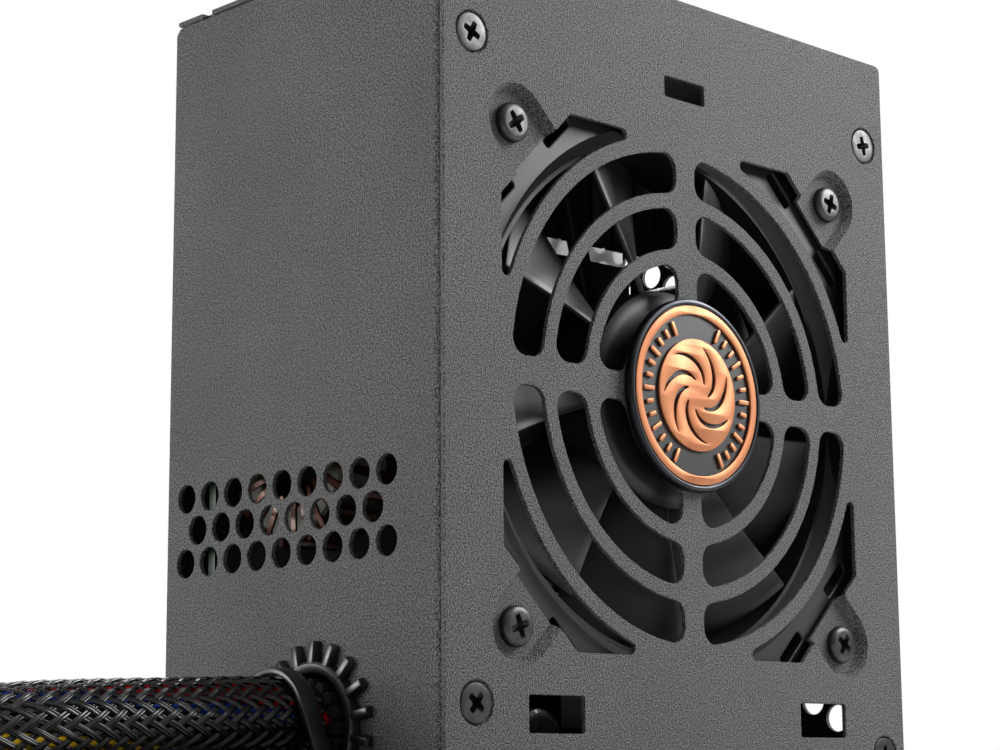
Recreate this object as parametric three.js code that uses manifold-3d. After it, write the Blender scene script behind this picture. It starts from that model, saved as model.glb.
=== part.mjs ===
// A small-format computer power supply unit: two folded steel shells, an 80 mm fan behind a pressed
// grille, a mains inlet and switch on one wall, and two sleeved cables through a grommet on the other.
// Millimetres, +Z up. The origin is the centre of the side panel that the unit stands on.
// X runs from the cable wall to the mains wall, and Y from the fan face to the closed face.

import * as THREE from 'three';
import { mergeVertices } from 'three/addons/utils/BufferGeometryUtils.js';
import Module from 'manifold-3d';

const wasm = await Module();
wasm.setup();

// Case
const depth = 100;
const thickness = 63.5;
const height = 125;
const sheet = 0.8;
const coverBend = 1.6;
const baseBend = 1.2;
const coverSetback = 1.25;
const cornerChamfer = 1.7;
const tabNotchWidth = 2.5;
const tabNotchDepth = 1.2;
const tabNotchFromBase = 7.45;

// Clearances
const gap = 0.3;
const hairGap = 0.1;

// Fan and grille
const fanSize = 80;
const fanDepth = 15;
const fanWall = 1.5;
const fanFlange = 3.5;
const fanCorner = 4;
const flareRadius = 41.4;
const flareWall = 0.8;
const fanScrewSquare = 71.5;
const spokeHalfWidth = 2.1;
const ringRadii = [[13.8, 20.1], [22.4, 28.7], [31.0, 37.2]];
const slotRounding = 2.4;
const cutoutInner = 39.6;
const cutoutReach = 38.95;
const cutoutTip = 1.2;
const bossSetIn = 5.5;
const bossRadius = 4.7;
const bossDepth = 1.5;
const bossWall = 0.8;
const hubRadius = 16.8;
const hubLength = 10.5;
const hubWall = 1.2;
const bladeCount = 9;
const bladeThickness = 1.1;
const bladeTurn = 30;
const bladeSweep = 7;
const bladeFirst = 35;
const bladeTipGap = 0.9;
const bladeCamber = 0.9;
const bladeSetBack = 0.7;
const rotorSetBack = 0.9;
const rotorEndGap = 1.2;
const shaftRadius = 1.5;
const bearingRadius = 2.6;
const bearingTubeRadius = 3.7;
const magnetThickness = 1.1;
const airGap = 0.7;
const strutWidth = 3;
const strutThickness = 2;

// Fasteners
const caseScrewHead = 2.85;
const caseScrewShank = 1.5;
const caseScrewLength = 6;
const fanScrewHead = 2.9;
const fanScrewHeadHeight = 1.2;
const fanScrewShank = 1.7;
const fanScrewLength = 7;
const boardScrewHead = 2.6;
const boardScrewHeadHeight = 1.5;
const boardScrewShank = 1.35;
const boardScrewLength = 6;
const recessHalf = 1.5;

// Badge
const badgeRadius = 14.6;
const badgeThickness = 1.5;
const badgeDish = 0.5;
const badgeFloorRadius = 13.75;
const bronzeRing = [12.2, 13.55];
const bronzeDisc = 8.5;
const bronzeThickness = 0.35;

// Vents
const ventRadius = 2.2;
const ventPitch = 5.78;
const ventRowPitch = 4.93;
const cableVentFirst = [-19.9, 38.49];
const mainsVentFirst = -19;
const mainsVentMiddle = 28.33;
const closedVentFirst = [24.5, 35.2];

// Cable exit
const exitY = -5.45;
const exitZ = 13.3;
const grommetBore = 7.6;
const grommetNeck = 8.8;
const grommetRim = 9.3;
const grommetProud = 1.5;
const toothCount = 18;
const toothReach = 12.1;
const toothWidth = 1.7;
const toothRoot = 0.3;
const tieWidth = 3;
const tieThickness = 1.1;
const tieOut = 3.2;

// Cables
const mainRadius = 6.5;
const cpuRadius = 4;
const loomClearance = 0.4;
const plugPitch = 4.2;
const plugBlockHeight = 9.6;
const plugLength = 15;
const plugPocket = 3;
const plugPocketDepth = 9;
const plugLift = 0.2;
const plugMargin = 0.6;
const wireInset = 1.5;
const mainWireLength = 26;
const cpuWireLength = 16;

// Mains wall
const inletY = 6;
const inletZ = 24;
const inletWidth = 27;
const inletHeight = 20;
const inletWall = 1.6;
const inletReach = 21;
const inletFlange = 2;
const inletProud = 1.8;
const inletCavity = 17;
const inletCorner = 4;
const bladeSpacing = 7;
const earthOffset = 4;
const earthRow = -2;
const pinWidth = 2;
const pinTall = 4;
const pinLength = 12.3;
const switchY = 8;
const switchZ = 56.5;
const switchWidth = 13;
const switchTall = 19;
const switchReach = 12;
const switchFlange = 1;
const switchProud = 1.6;
const switchWall = 1.4;
const rockerTilt = 12;
const mountPitchY = 51.5;
const mountPitchZ = 113;
const mountHole = 1.75;

// Board and what stands on it
const standoffRadius = 3;
const standoffHeight = 4.65;
const boardThickness = 1.6;
const boardMargin = 4;
const boardNotchX = 22;
const boardNotchTop = 70;
const sheetThickness = 0.4;
const heatsinkPlate = 2.5;

// Derived places
const fanBore = fanSize / 2 - fanWall;
const magnetOuter = hubRadius - hubWall - gap;
const statorReach = magnetOuter - magnetThickness - airGap;
const yFan = -thickness / 2;
const yBase = thickness / 2;
const xCable = -depth / 2;
const xMains = depth / 2;
const fanZ = height / 2;
const loomRadius = grommetBore - loomClearance;
const coverInside = yFan + sheet;
const flangeFront = coverInside + gap;
const flangeEdge = fanScrewSquare / 2 + bossRadius + bossWall + gap;
const baseInside = yBase - sheet;
const bossFloor = yFan + bossDepth;
const fanFront = bossFloor + sheet + gap;
const fanBack = fanFront + fanDepth;
const boardBack = baseInside - standoffHeight - gap;
const boardFront = boardBack - boardThickness;
const headroomFront = fanBack + gap;
const wallLow = sheet + gap;
const wallHigh = height - sheet - gap;

const group = new THREE.Group();

/** Points on an arc, angles in degrees, both ends included. */
function arc(cx, cy, radius, from, to, steps) {
  const points = [];
  for (let i = 0; i <= steps; i += 1) {
    const angle = THREE.MathUtils.degToRad(from + ((to - from) * i) / steps);
    points.push(new THREE.Vector2(cx + radius * Math.cos(angle), cy + radius * Math.sin(angle)));
  }
  return points;
}

/** A rectangle by its centre and half sizes. */
function rectangle(cx, cy, halfWidth, halfHeight) {
  return [
    new THREE.Vector2(cx - halfWidth, cy - halfHeight),
    new THREE.Vector2(cx + halfWidth, cy - halfHeight),
    new THREE.Vector2(cx + halfWidth, cy + halfHeight),
    new THREE.Vector2(cx - halfWidth, cy + halfHeight),
  ];
}

/** A closed ring of points about a centre. */
function ringPoints(cx, cy, radius, sides, turn = 0) {
  return arc(cx, cy, radius, turn, turn + 360, sides).slice(0, sides);
}

/** Extrusion of an outline along Z between two heights. */
function alongZ(points, low, high, holes = []) {
  const shape = new THREE.Shape(points);
  shape.holes = holes.map((hole) => new THREE.Path(hole));
  const geometry = new THREE.ExtrudeGeometry(shape, { depth: high - low, bevelEnabled: false });
  geometry.translate(0, 0, low);
  return geometry;
}

/** Extrusion of an (x, z) outline along Y between two places. */
function alongY(points, near, far, holes = []) {
  const geometry = alongZ(points, 0, far - near, holes);
  geometry.rotateX(Math.PI / 2);
  geometry.translate(0, far, 0);
  return geometry;
}

/** Extrusion of a (y, z) outline along X between two places. */
function alongX(points, low, high, holes = []) {
  const geometry = alongZ(points, 0, high - low, holes);
  const turned = new THREE.Matrix4().makeBasis(
    new THREE.Vector3(0, 1, 0),
    new THREE.Vector3(0, 0, 1),
    new THREE.Vector3(1, 0, 0),
  );
  geometry.applyMatrix4(turned);
  geometry.translate(low, 0, 0);
  return geometry;
}

/** A block by its lowest and highest corners. */
function block(low, high) {
  const size = high.map((value, axis) => value - low[axis]);
  const geometry = new THREE.BoxGeometry(...size);
  geometry.translate(...high.map((value, axis) => (value + low[axis]) / 2));
  return geometry;
}

/** A turned piece about the Y axis from [radius, y] pairs, moved to (x, z). */
function turnedY(profile, x, z, sides) {
  const points = profile.map(([radius, y]) => new THREE.Vector2(radius, y));
  const geometry = new THREE.LatheGeometry(points, sides);
  geometry.translate(x, 0, z);
  return geometry;
}

/** A closed solid for cutting and joining. */
function solid(geometry) {
  const plain = geometry.clone();
  plain.deleteAttribute('normal');
  plain.deleteAttribute('uv');
  const merged = mergeVertices(plain, 1e-4);
  return new wasm.Manifold(new wasm.Mesh({
    numProp: 3,
    vertProperties: new Float32Array(merged.attributes.position.array),
    triVerts: new Uint32Array(merged.index.array),
  }));
}

/** A solid back as geometry. */
function geometryOf(shape) {
  const mesh = shape.getMesh();
  const geometry = new THREE.BufferGeometry();
  geometry.setAttribute('position', new THREE.BufferAttribute(mesh.vertProperties, 3));
  geometry.setIndex(new THREE.BufferAttribute(mesh.triVerts, 1));
  return geometry;
}

/** One solid less every cutter, with every addition joined first. */
function shaped(base, additions, cutters) {
  let result = solid(base);
  additions.forEach((piece) => {
    result = result.add(solid(piece));
  });
  cutters.forEach((piece) => {
    result = result.subtract(solid(piece));
  });
  return geometryOf(result);
}

/** A named mesh in its own material. */
function part(name, geometry, colour, roughness, metalness) {
  const material = new THREE.MeshStandardMaterial({ color: colour, roughness, metalness });
  const mesh = new THREE.Mesh(geometry, material);
  mesh.name = name;
  group.add(mesh);
  return mesh;
}

// Finishes: colour, roughness, metalness
const powderCoat = [0x3c3c3d, 0.55, 0.2];
const blackPlastic = [0x141416, 0.45, 0];
const steel = [0xb8bbbf, 0.3, 1];
const bronze = [0xd69a6c, 0.35, 0.8];
const aluminium = [0xa9acb0, 0.45, 1];
const ferrite = [0x2f3033, 0.7, 0];

/** Corners of the four fan screws, as signs. */
const corners = [[-1, 1], [1, 1], [-1, -1], [1, -1]];

/** Countersunk case screws: x and z of each. */
const caseScrews = [
  [xCable + 5.5, height - 15.4],
  [xMains - 5.2, height - 15.3],
  [xCable + 5.8, 16.2],
  [xMains - 5.0, 9.5],
];

/** Slots of the fan face: x and z of the centre, then half the width and half the height. */
const faceSlots = [
  [0.25, height - 14.95, 4.55, 1.65],
  [-28.95, 14.9, 5.45, 2.6],
  [29.6, 14.8, 5.5, 2.6],
];

/** Board screws: x and z of each. */
const boardScrews = [
  [xCable + boardMargin + 4, wallLow + boardMargin + 3.4],
  [boardNotchX - 4, wallLow + boardMargin + 3.4],
  [xCable + boardMargin + 4, wallHigh - boardMargin - 3.4],
  [xMains - boardMargin - 4, wallHigh - boardMargin - 3.4],
];

/** An arc slot of one quadrant with rounded ends, between two radii, clear of the cross spokes. */
function arcSlot(inner, outer, quadrant) {
  const reach = (radius) => THREE.MathUtils.radToDeg(Math.asin((spokeHalfWidth + slotRounding) / radius));
  const round = slotRounding;
  const near = spokeHalfWidth + round;
  const points = [];
  const out = outer - round;
  const inn = inner + round;
  const outStart = THREE.MathUtils.radToDeg(Math.asin(near / out));
  const innStart = THREE.MathUtils.radToDeg(Math.asin(near / inn));
  points.push(...arc(0, 0, outer, reach(out), 90 - reach(out), 8));
  const topOut = new THREE.Vector2(near, Math.sqrt(out * out - near * near));
  points.push(...arc(topOut.x, topOut.y, round, 90 + outStart, 180, 2));
  const topInn = new THREE.Vector2(near, Math.sqrt(inn * inn - near * near));
  points.push(...arc(topInn.x, topInn.y, round, 180, 270 - innStart, 2));
  points.push(...arc(0, 0, inner, 90 - innStart, innStart, 6).slice(1, -1));
  points.push(...arc(topInn.y, topInn.x, round, 180 + innStart, 270, 2));
  points.push(...arc(topOut.y, topOut.x, round, 270, 360, 2));
  const turn = THREE.MathUtils.degToRad(quadrant * 90);
  return points.map((point) => point.rotateAround(new THREE.Vector2(), turn));
}

/** The corner cutout of one quadrant: the inner arc, two flats and the diagonal. */
function cornerCutout(quadrant) {
  const diagonal = fanScrewSquare - 2 * bossSetIn / Math.SQRT2;
  const tip = Math.sqrt(cutoutInner ** 2 - (cutoutReach - cutoutTip) ** 2);
  const angle = THREE.MathUtils.radToDeg(Math.atan2(tip, cutoutReach - cutoutTip));
  const points = arc(0, 0, cutoutInner, 90 - angle, angle, 8);
  points.push(new THREE.Vector2(cutoutReach, tip));
  points.push(new THREE.Vector2(cutoutReach, diagonal - cutoutReach));
  points.push(new THREE.Vector2(diagonal - cutoutReach, cutoutReach));
  points.push(new THREE.Vector2(tip, cutoutReach));
  const turn = THREE.MathUtils.degToRad(quadrant * 90);
  return points.map((point) => point.rotateAround(new THREE.Vector2(), turn)).reverse();
}

/** The U outline of a fan screw boss, open towards the fan's centre. */
function bossOutline(sideX, sideZ, radius, reach) {
  const local = arc(0, 0, radius, -90, 90, 6);
  local.push(new THREE.Vector2(-reach, radius));
  local.push(new THREE.Vector2(-reach, -radius));
  const turn = Math.atan2(sideZ, sideX);
  const half = fanScrewSquare / 2;
  return local.map((point) => {
    point.rotateAround(new THREE.Vector2(), turn);
    return point.add(new THREE.Vector2(sideX * half, fanZ + sideZ * half));
  });
}

/** Shifts an outline up to the fan's centre. */
function atFan(points) {
  return points.map((point) => new THREE.Vector2(point.x, point.y + fanZ));
}

/** Outer and inner line of a U of folded sheet, with the open side at high u. */
function foldedU(uOpen, uFold, low, high, radius) {
  const inner = radius - sheet;
  const points = [new THREE.Vector2(uOpen, low)];
  points.push(...arc(uFold + radius, low + radius, radius, -90, -180, 3));
  points.push(...arc(uFold + radius, high - radius, radius, 180, 90, 3));
  points.push(new THREE.Vector2(uOpen, high), new THREE.Vector2(uOpen, high - sheet));
  points.push(...arc(uFold + radius, high - radius, inner, 90, 180, 2));
  points.push(...arc(uFold + radius, low + radius, inner, 180, 270, 2));
  points.push(new THREE.Vector2(uOpen, low + sheet));
  return points.reverse();
}

function coverShell() {
  const coverEnd = yBase - coverSetback;
  const folded = alongX(foldedU(coverEnd, yFan, 0, height, coverBend), xCable, xMains);
  const cups = corners.map(([sx, sz]) => alongY(
    bossOutline(sx, sz, bossRadius + bossWall, bossSetIn),
    yFan + sheet / 2,
    bossFloor + sheet,
  ));
  const through = [yFan - 1, bossFloor + sheet + 1];
  const cutters = [];
  for (let quadrant = 0; quadrant < 4; quadrant += 1) {
    ringRadii.forEach(([inner, outer]) => {
      cutters.push(alongY(atFan(arcSlot(inner, outer, quadrant)), ...through));
    });
    cutters.push(alongY(atFan(cornerCutout(quadrant)), ...through));
  }
  corners.forEach(([sx, sz]) => {
    cutters.push(alongY(bossOutline(sx, sz, bossRadius, bossSetIn + 1), yFan - 1, bossFloor));
    const hole = ringPoints(sx * fanScrewSquare / 2, fanZ + sz * fanScrewSquare / 2, fanScrewShank + gap, 8);
    cutters.push(alongY(hole, ...through));
  });
  caseScrews.forEach(([x, z]) => {
    const mouth = caseScrewHead + gap + 1;
    const profile = [[0, yFan - 1], [mouth, yFan - 1], [mouth - 3, yFan + 2], [0, yFan + 2]];
    cutters.push(turnedY(profile, x, z, 12));
  });
  faceSlots.forEach((slot) => cutters.push(alongY(rectangle(...slot), yFan - 1, coverInside + 0.2)));
  const notchY = yBase - tabNotchFromBase - tabNotchWidth / 2;
  [-1, height - sheet - 1].forEach((low) => {
    const outline = rectangle(xCable, notchY, tabNotchDepth, tabNotchWidth / 2);
    cutters.push(alongZ(outline, low, low + sheet + 2));
  });
  return shaped(folded, cups, cutters);
}

/** Places of a staggered vent field over (u, v), rows a fixed pitch apart. */
function ventField(uFirst, vFirst, rows, columns) {
  const places = [];
  for (let row = 0; row < rows; row += 1) {
    const odd = row % 2;
    for (let column = 0; column < columns - odd; column += 1) {
      places.push([uFirst + row * ventRowPitch, vFirst + (column + odd / 2) * ventPitch]);
    }
  }
  return places;
}

/** Vents of the cable wall, (y, z): three rows along Y. */
function cableVents() {
  const [yFirst, zFirst] = cableVentFirst;
  return ventField(zFirst, yFirst, 3, 9).map(([z, y]) => [y, z]);
}

/** Vents of the mains wall, (y, z): the field above the switch and a strip beside the inlet. */
function mainsVents() {
  const below = 14;
  const above = 3;
  const bottom = height - mainsVentMiddle - below * ventPitch;
  const clearY = inletY - inletWidth / 2 - inletFlange - ventRadius - 1;
  const clearZ = switchZ + switchTall / 2 + switchFlange + ventRadius + 1;
  return ventField(mainsVentFirst, bottom, 10, below + above).filter(([y, z]) => y < clearY || z > clearZ);
}

/** Vents of the closed face, (x, z), between the inlet and the switch. */
function closedVents() {
  return ventField(...closedVentFirst, 4, 3);
}

function baseShell() {
  const open = flangeFront;
  const r = baseBend;
  const inner = r - sheet;
  const outline = [
    new THREE.Vector2(-flangeEdge, open + sheet),
    new THREE.Vector2(-flangeEdge, open),
    ...arc(xCable + r, open + r, r, 270, 180, 3),
    ...arc(xCable + r, yBase - r, r, 180, 90, 3),
    ...arc(xMains - r, yBase - r, r, 90, 0, 3),
    ...arc(xMains - r, open + r, r, 0, -90, 3),
    new THREE.Vector2(flangeEdge, open),
    new THREE.Vector2(flangeEdge, open + sheet),
    ...arc(xMains - r, open + r, inner, -90, 0, 2),
    ...arc(xMains - r, yBase - r, inner, 0, 90, 2),
    ...arc(xCable + r, yBase - r, inner, 90, 180, 2),
    ...arc(xCable + r, open + r, inner, 180, 270, 2),
  ];
  const folded = alongZ(outline, wallLow, wallHigh);
  const standoffs = boardScrews.map(([x, z]) => alongY(
    ringPoints(x, z, standoffRadius, 10),
    boardBack + gap,
    baseInside + sheet / 2,
  ));
  const cutters = [];
  boardScrews.forEach(([x, z]) => {
    cutters.push(alongY(ringPoints(x, z, boardScrewShank + gap, 8), boardBack, yBase + 1));
  });
  caseScrews.forEach(([x, z]) => {
    const clearOfCone = ringPoints(x, z, caseScrewHead - sheet, 12);
    cutters.push(alongY(clearOfCone, open - 1, open + sheet + 1));
  });
  const cable = [xCable - 1, xCable + sheet + 1];
  const mains = [xMains - sheet - 1, xMains + 1];
  cableVents().forEach(([y, z]) => cutters.push(alongX(ringPoints(y, z, ventRadius, 6), ...cable)));
  mainsVents().forEach(([y, z]) => cutters.push(alongX(ringPoints(y, z, ventRadius, 6), ...mains)));
  closedVents().forEach(([x, z]) => {
    cutters.push(alongY(ringPoints(x, z, ventRadius, 6), baseInside - 1, yBase + 1));
  });
  cutters.push(alongX(ringPoints(exitY, exitZ, grommetNeck + gap, 24), ...cable));
  const inletHole = rectangle(inletY, inletZ, inletWidth / 2 + gap, inletHeight / 2 + gap);
  cutters.push(alongX(inletHole, ...mains));
  const switchHole = rectangle(switchY, switchZ, switchWidth / 2 + gap, switchTall / 2 + gap);
  cutters.push(alongX(switchHole, ...mains));
  corners.forEach(([sy, sz]) => {
    const hole = ringPoints(sy * mountPitchY / 2, height / 2 + sz * mountPitchZ / 2, mountHole, 8);
    cutters.push(alongX(hole, ...mains));
  });
  [[wallLow, 1], [wallHigh, -1]].forEach(([edge, inward]) => {
    const corner = [
      new THREE.Vector2(yBase + 1, edge - inward),
      new THREE.Vector2(yBase + 1, edge + inward * (cornerChamfer + 1)),
      new THREE.Vector2(yBase - cornerChamfer - 1, edge - inward),
    ];
    const ordered = inward > 0 ? corner : corner.reverse();
    cutters.push(alongX(ordered, xCable - 1, xMains + 1));
  });
  return shaped(folded, standoffs, cutters);
}

/** A screw about Y with its head towards the fan face and a cross recess. */
function screw(x, z, profile, recessFrom, recessTo, sides) {
  const width = 0.35;
  const bars = [rectangle(x, z, recessHalf, width), rectangle(x, z, width, recessHalf)];
  return shaped(turnedY(profile, x, z, sides), [], bars.map((bar) => alongY(bar, recessFrom, recessTo)));
}

function caseScrewPieces() {
  const top = yFan + 0.05;
  const coneEnd = top + caseScrewHead - caseScrewShank;
  const profile = [
    [0, top],
    [caseScrewHead, top],
    [caseScrewShank, coneEnd],
    [caseScrewShank, top + caseScrewLength],
    [0, top + caseScrewLength],
  ];
  caseScrews.forEach(([x, z], index) => {
    part(`case_screw_${index + 1}`, screw(x, z, profile, top - 1, top + 0.9, 12), ...steel);
  });
}

/** Half section of a pan head screw: its head stands proud of the seat and its shank goes in. */
function panHead(headRadius, headHeight, shankRadius, length, seat) {
  return [
    [0, seat - headHeight],
    [headRadius * 0.65, seat - headHeight * 0.92],
    [headRadius, seat - headHeight * 0.45],
    [headRadius, seat],
    [shankRadius, seat],
    [shankRadius, seat + length],
    [0, seat + length],
  ];
}

function fanScrewPieces() {
  const seat = bossFloor - hairGap;
  const profile = panHead(fanScrewHead, fanScrewHeadHeight, fanScrewShank, fanScrewLength, seat);
  corners.forEach(([sx, sz], index) => {
    const x = sx * fanScrewSquare / 2;
    const z = fanZ + sz * fanScrewSquare / 2;
    part(`fan_screw_${index + 1}`, screw(x, z, profile, seat - 2, seat - 0.3, 10), ...steel);
  });
}

/** Outline of the fan's square frame with rounded corners. */
function frameOutline() {
  const half = fanSize / 2 - fanCorner;
  const points = [];
  [[1, 1, 0], [-1, 1, 90], [-1, -1, 180], [1, -1, 270]].forEach(([sx, sz, turn]) => {
    points.push(...arc(sx * half, fanZ + sz * half, fanCorner, turn, turn + 90, 3));
  });
  return points;
}

/** The flared mouth of the fan's bore, cut off square just inside the frame's sides. */
function inletFlare() {
  const slope = (flareRadius - fanBore) / fanFlange;
  const mouth = flareRadius + slope;
  const foot = fanFront + fanFlange;
  const profile = [[0, fanFront - 1], [mouth, fanFront - 1], [fanBore - 0.05, foot], [0, foot]];
  const half = fanSize / 2 - flareWall;
  const square = alongY(rectangle(0, fanZ, half, half), fanFront - 2, fanFront + fanFlange + 1);
  return geometryOf(solid(turnedY(profile, 0, fanZ, 48)).intersect(solid(square)));
}

function fanFrame() {
  const bore = ringPoints(0, fanZ, fanBore, 32).reverse();
  const front = alongY(frameOutline(), fanFront, fanFront + fanFlange, [bore]);
  const back = alongY(frameOutline(), fanBack - fanFlange, fanBack, [bore]);
  const wall = alongY(
    ringPoints(0, fanZ, fanBore + fanWall - 0.05, 32),
    fanFront + fanFlange / 2,
    fanBack - fanFlange / 2,
    [bore],
  );
  const tubeFront = fanBack - hubLength;
  const additions = [back, wall];
  additions.push(alongY(ringPoints(0, fanZ, hubRadius, 24), fanBack - strutThickness, fanBack));
  additions.push(alongY(ringPoints(0, fanZ, bearingTubeRadius, 12), tubeFront, fanBack - strutThickness / 2));
  for (let strut = 0; strut < 4; strut += 1) {
    const bar = rectangle((hubRadius + fanBore) / 2, 0, (fanBore - hubRadius) / 2 + 0.6, strutWidth / 2);
    const turn = THREE.MathUtils.degToRad(15 + strut * 90);
    const turned = bar.map((point) => point.rotateAround(new THREE.Vector2(), turn));
    additions.push(alongY(atFan(turned), fanBack - strutThickness, fanBack));
  }
  const cutters = corners.map(([sx, sz]) => {
    const hole = ringPoints(sx * fanScrewSquare / 2, fanZ + sz * fanScrewSquare / 2, fanScrewShank + gap, 8);
    return alongY(hole, fanFront - 1, fanBack + 1);
  });
  const tubeBore = ringPoints(0, fanZ, bearingRadius + gap, 12);
  cutters.push(alongY(tubeBore, tubeFront - 1, fanBack - strutThickness + 0.6));
  cutters.push(inletFlare());
  return shaped(front, additions, cutters);
}

/** One blade: a block bent onto a helical surface between the hub and the tip. */
function blade(first) {
  const rootRadius = hubRadius - hubWall / 2;
  const tipRadius = fanBore - bladeTipGap;
  const front = fanFront + rotorSetBack + bladeSetBack;
  const back = fanBack - strutThickness - rotorEndGap - gap;
  const geometry = new THREE.BoxGeometry(1, 1, 1, 3, 4, 1);
  const place = geometry.attributes.position;
  for (let i = 0; i < place.count; i += 1) {
    const along = place.getX(i) + 0.5;
    const across = place.getY(i) + 0.5;
    const radius = rootRadius + (tipRadius - rootRadius) * along;
    const camber = 1 - (2 * across - 1) ** 2;
    const angle = first - bladeSweep * (1 - along) - bladeTurn * across;
    const radians = THREE.MathUtils.degToRad(angle);
    const y = front + (back - front) * across - camber * bladeCamber + place.getZ(i) * bladeThickness;
    place.setXYZ(i, radius * Math.cos(radians), y, fanZ + radius * Math.sin(radians));
  }
  return geometry;
}

function fanRotor() {
  const front = fanFront + rotorSetBack;
  const back = front + hubLength;
  const inner = hubRadius - hubWall;
  const profile = [
    [0, front],
    [hubRadius - hubWall, front],
    [hubRadius, front + hubWall],
    [hubRadius, back],
    [inner, back],
    [inner, front + hubWall],
    [0, front + hubWall],
  ];
  const blades = [];
  for (let index = 0; index < bladeCount; index += 1) {
    blades.push(blade(bladeFirst + (360 / bladeCount) * index));
  }
  return shaped(turnedY(profile, 0, fanZ, 30), blades, []);
}

/** A ring about the fan's axis. */
function fanRing(inner, outer, near, far, sides) {
  return alongY(ringPoints(0, fanZ, outer, sides), near, far, [ringPoints(0, fanZ, inner, sides).reverse()]);
}

function statorOutline() {
  const points = [];
  for (let pole = 0; pole < 4; pole += 1) {
    const turn = pole * 90;
    points.push(...arc(0, 0, statorReach, turn - 36, turn + 36, 4));
    points.push(...arc(0, 0, statorReach - 2.4, turn + 34, turn + 16, 1));
    points.push(...arc(0, 0, 6.2, turn + 30, turn + 60, 1));
    points.push(...arc(0, 0, statorReach - 2.4, turn + 74, turn + 56, 1));
  }
  return points;
}

function fanMotorPieces() {
  const front = fanFront + rotorSetBack + hubWall + gap;
  const back = fanBack - strutThickness - rotorEndGap;
  const magnet = fanRing(magnetOuter - magnetThickness, magnetOuter, front + 0.5, back - 2, 24);
  part('rotor_magnet', magnet, ...ferrite);
  const shaftEnd = fanBack - strutThickness - gap;
  part('fan_shaft', alongY(ringPoints(0, fanZ, shaftRadius, 12), front, shaftEnd), ...steel);
  const bearing = fanRing(shaftRadius + gap, bearingRadius, fanBack - hubLength + 0.5, shaftEnd, 12);
  part('fan_bearing', bearing, 0xb08a4a, 0.4, 0.9);
  const bore = ringPoints(0, fanZ, bearingTubeRadius + gap, 12).reverse();
  const stator = alongY(atFan(statorOutline()), fanBack - hubLength + 1, back - 1, [bore]);
  part('fan_stator', stator, 0x8a4a24, 0.5, 0.3);
}

function badgePieces() {
  const seat = yFan - hairGap;
  const face = seat - badgeThickness;
  const floor = face + badgeDish;
  const profile = [
    [0, floor],
    [badgeFloorRadius, floor],
    [badgeFloorRadius + 0.15, face],
    [badgeRadius - 0.5, face],
    [badgeRadius, face + 0.5],
    [badgeRadius, seat],
    [0, seat],
  ];
  part('badge_body', turnedY(profile, 0, fanZ, 32), 0x8b8d90, 0.35, 0.6);
  const top = floor - hairGap;
  part('badge_ring', fanRing(...bronzeRing, top - bronzeThickness, top, 32), ...bronze);
  part('badge_disc', alongY(ringPoints(0, fanZ, bronzeDisc, 32), top - bronzeThickness, top), ...bronze);
}

/** A lathe profile of [radius, x] pairs turned about an axis along X. */
function turnedX(profile, y, z, sides) {
  const points = profile.map(([radius, x]) => new THREE.Vector2(radius, x));
  const geometry = new THREE.LatheGeometry(points, sides);
  geometry.rotateZ(-Math.PI / 2);
  geometry.translate(0, y, z);
  return geometry;
}

function grommet() {
  const face = xCable - hairGap;
  const rimFace = face - grommetProud;
  const inside = xCable + sheet + hairGap;
  const profile = [
    [grommetBore, rimFace + 0.5],
    [grommetBore + 0.5, rimFace],
    [grommetRim, rimFace],
    [grommetRim, face],
    [grommetNeck, face],
    [grommetNeck, inside],
    [grommetNeck + 1, inside],
    [grommetNeck, inside + 1.4],
    [grommetBore, inside + 1.4],
    [grommetBore, rimFace + 0.5],
  ];
  const teeth = [];
  for (let tooth = 0; tooth < toothCount; tooth += 1) {
    const turn = THREE.MathUtils.degToRad(90 + (360 / toothCount) * tooth);
    const root = grommetRim - toothRoot;
    const bar = rectangle((root + toothReach) / 2, 0, (toothReach - root) / 2, toothWidth / 2);
    const turned = bar.map((point) => {
      point.rotateAround(new THREE.Vector2(), turn);
      return point.add(new THREE.Vector2(exitY, exitZ));
    });
    teeth.push(alongX(turned, rimFace - 0.1, face));
  }
  return shaped(turnedX(profile, exitY, exitZ, 24), teeth, []);
}

/** Both cables where they leave the grommet, as [y, z, radius]. */
const mainExit = [-3.9, 13.9, mainRadius];
const cpuExit = [-10.7, 5.5, cpuRadius];

/** The outline of a belt round two circles, out by a margin. */
function beltOutline(first, second, margin) {
  const [y1, z1, r1] = first;
  const [y2, z2, r2] = second;
  const along = THREE.MathUtils.radToDeg(Math.atan2(z1 - z2, y1 - y2));
  const lean = THREE.MathUtils.radToDeg(Math.asin((r1 - r2) / Math.hypot(y1 - y2, z1 - z2)));
  const points = arc(y1, z1, r1 + margin, along - 90 - lean, along + 90 + lean, 12);
  points.push(...arc(y2, z2, r2 + margin, along + 90 + lean, along + 270 - lean, 8));
  return points;
}

function cableTie() {
  const far = xCable - grommetProud - tieOut;
  const outer = beltOutline(mainExit, cpuExit, gap + tieThickness);
  const inner = beltOutline(mainExit, cpuExit, gap);
  const band = alongX(outer, far - tieWidth, far, [inner.reverse()]);
  const y = mainExit[0] + mainExit[2] + gap + tieThickness + 1.2;
  const head = block([far - tieWidth - 0.6, y - 1.6, exitZ - 1.6], [far + 0.6, y + 1.8, exitZ + 2.2]);
  return shaped(band, [head], []);
}

/** A round tube through a list of [x, y, z] points. */
function tube(points, radius, sides, steps) {
  const path = new THREE.CatmullRomCurve3(points.map((point) => new THREE.Vector3(...point)));
  const shape = new THREE.Shape(ringPoints(0, 0, radius, sides));
  return new THREE.ExtrudeGeometry(shape, { steps, extrudePath: path, bevelEnabled: false });
}

/** A route whose x is measured outwards from the cable wall, as [x, y, z] of the part. */
function fromWall(points) {
  return points.map(([x, y, z]) => [xCable + x, y, z]);
}

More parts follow.
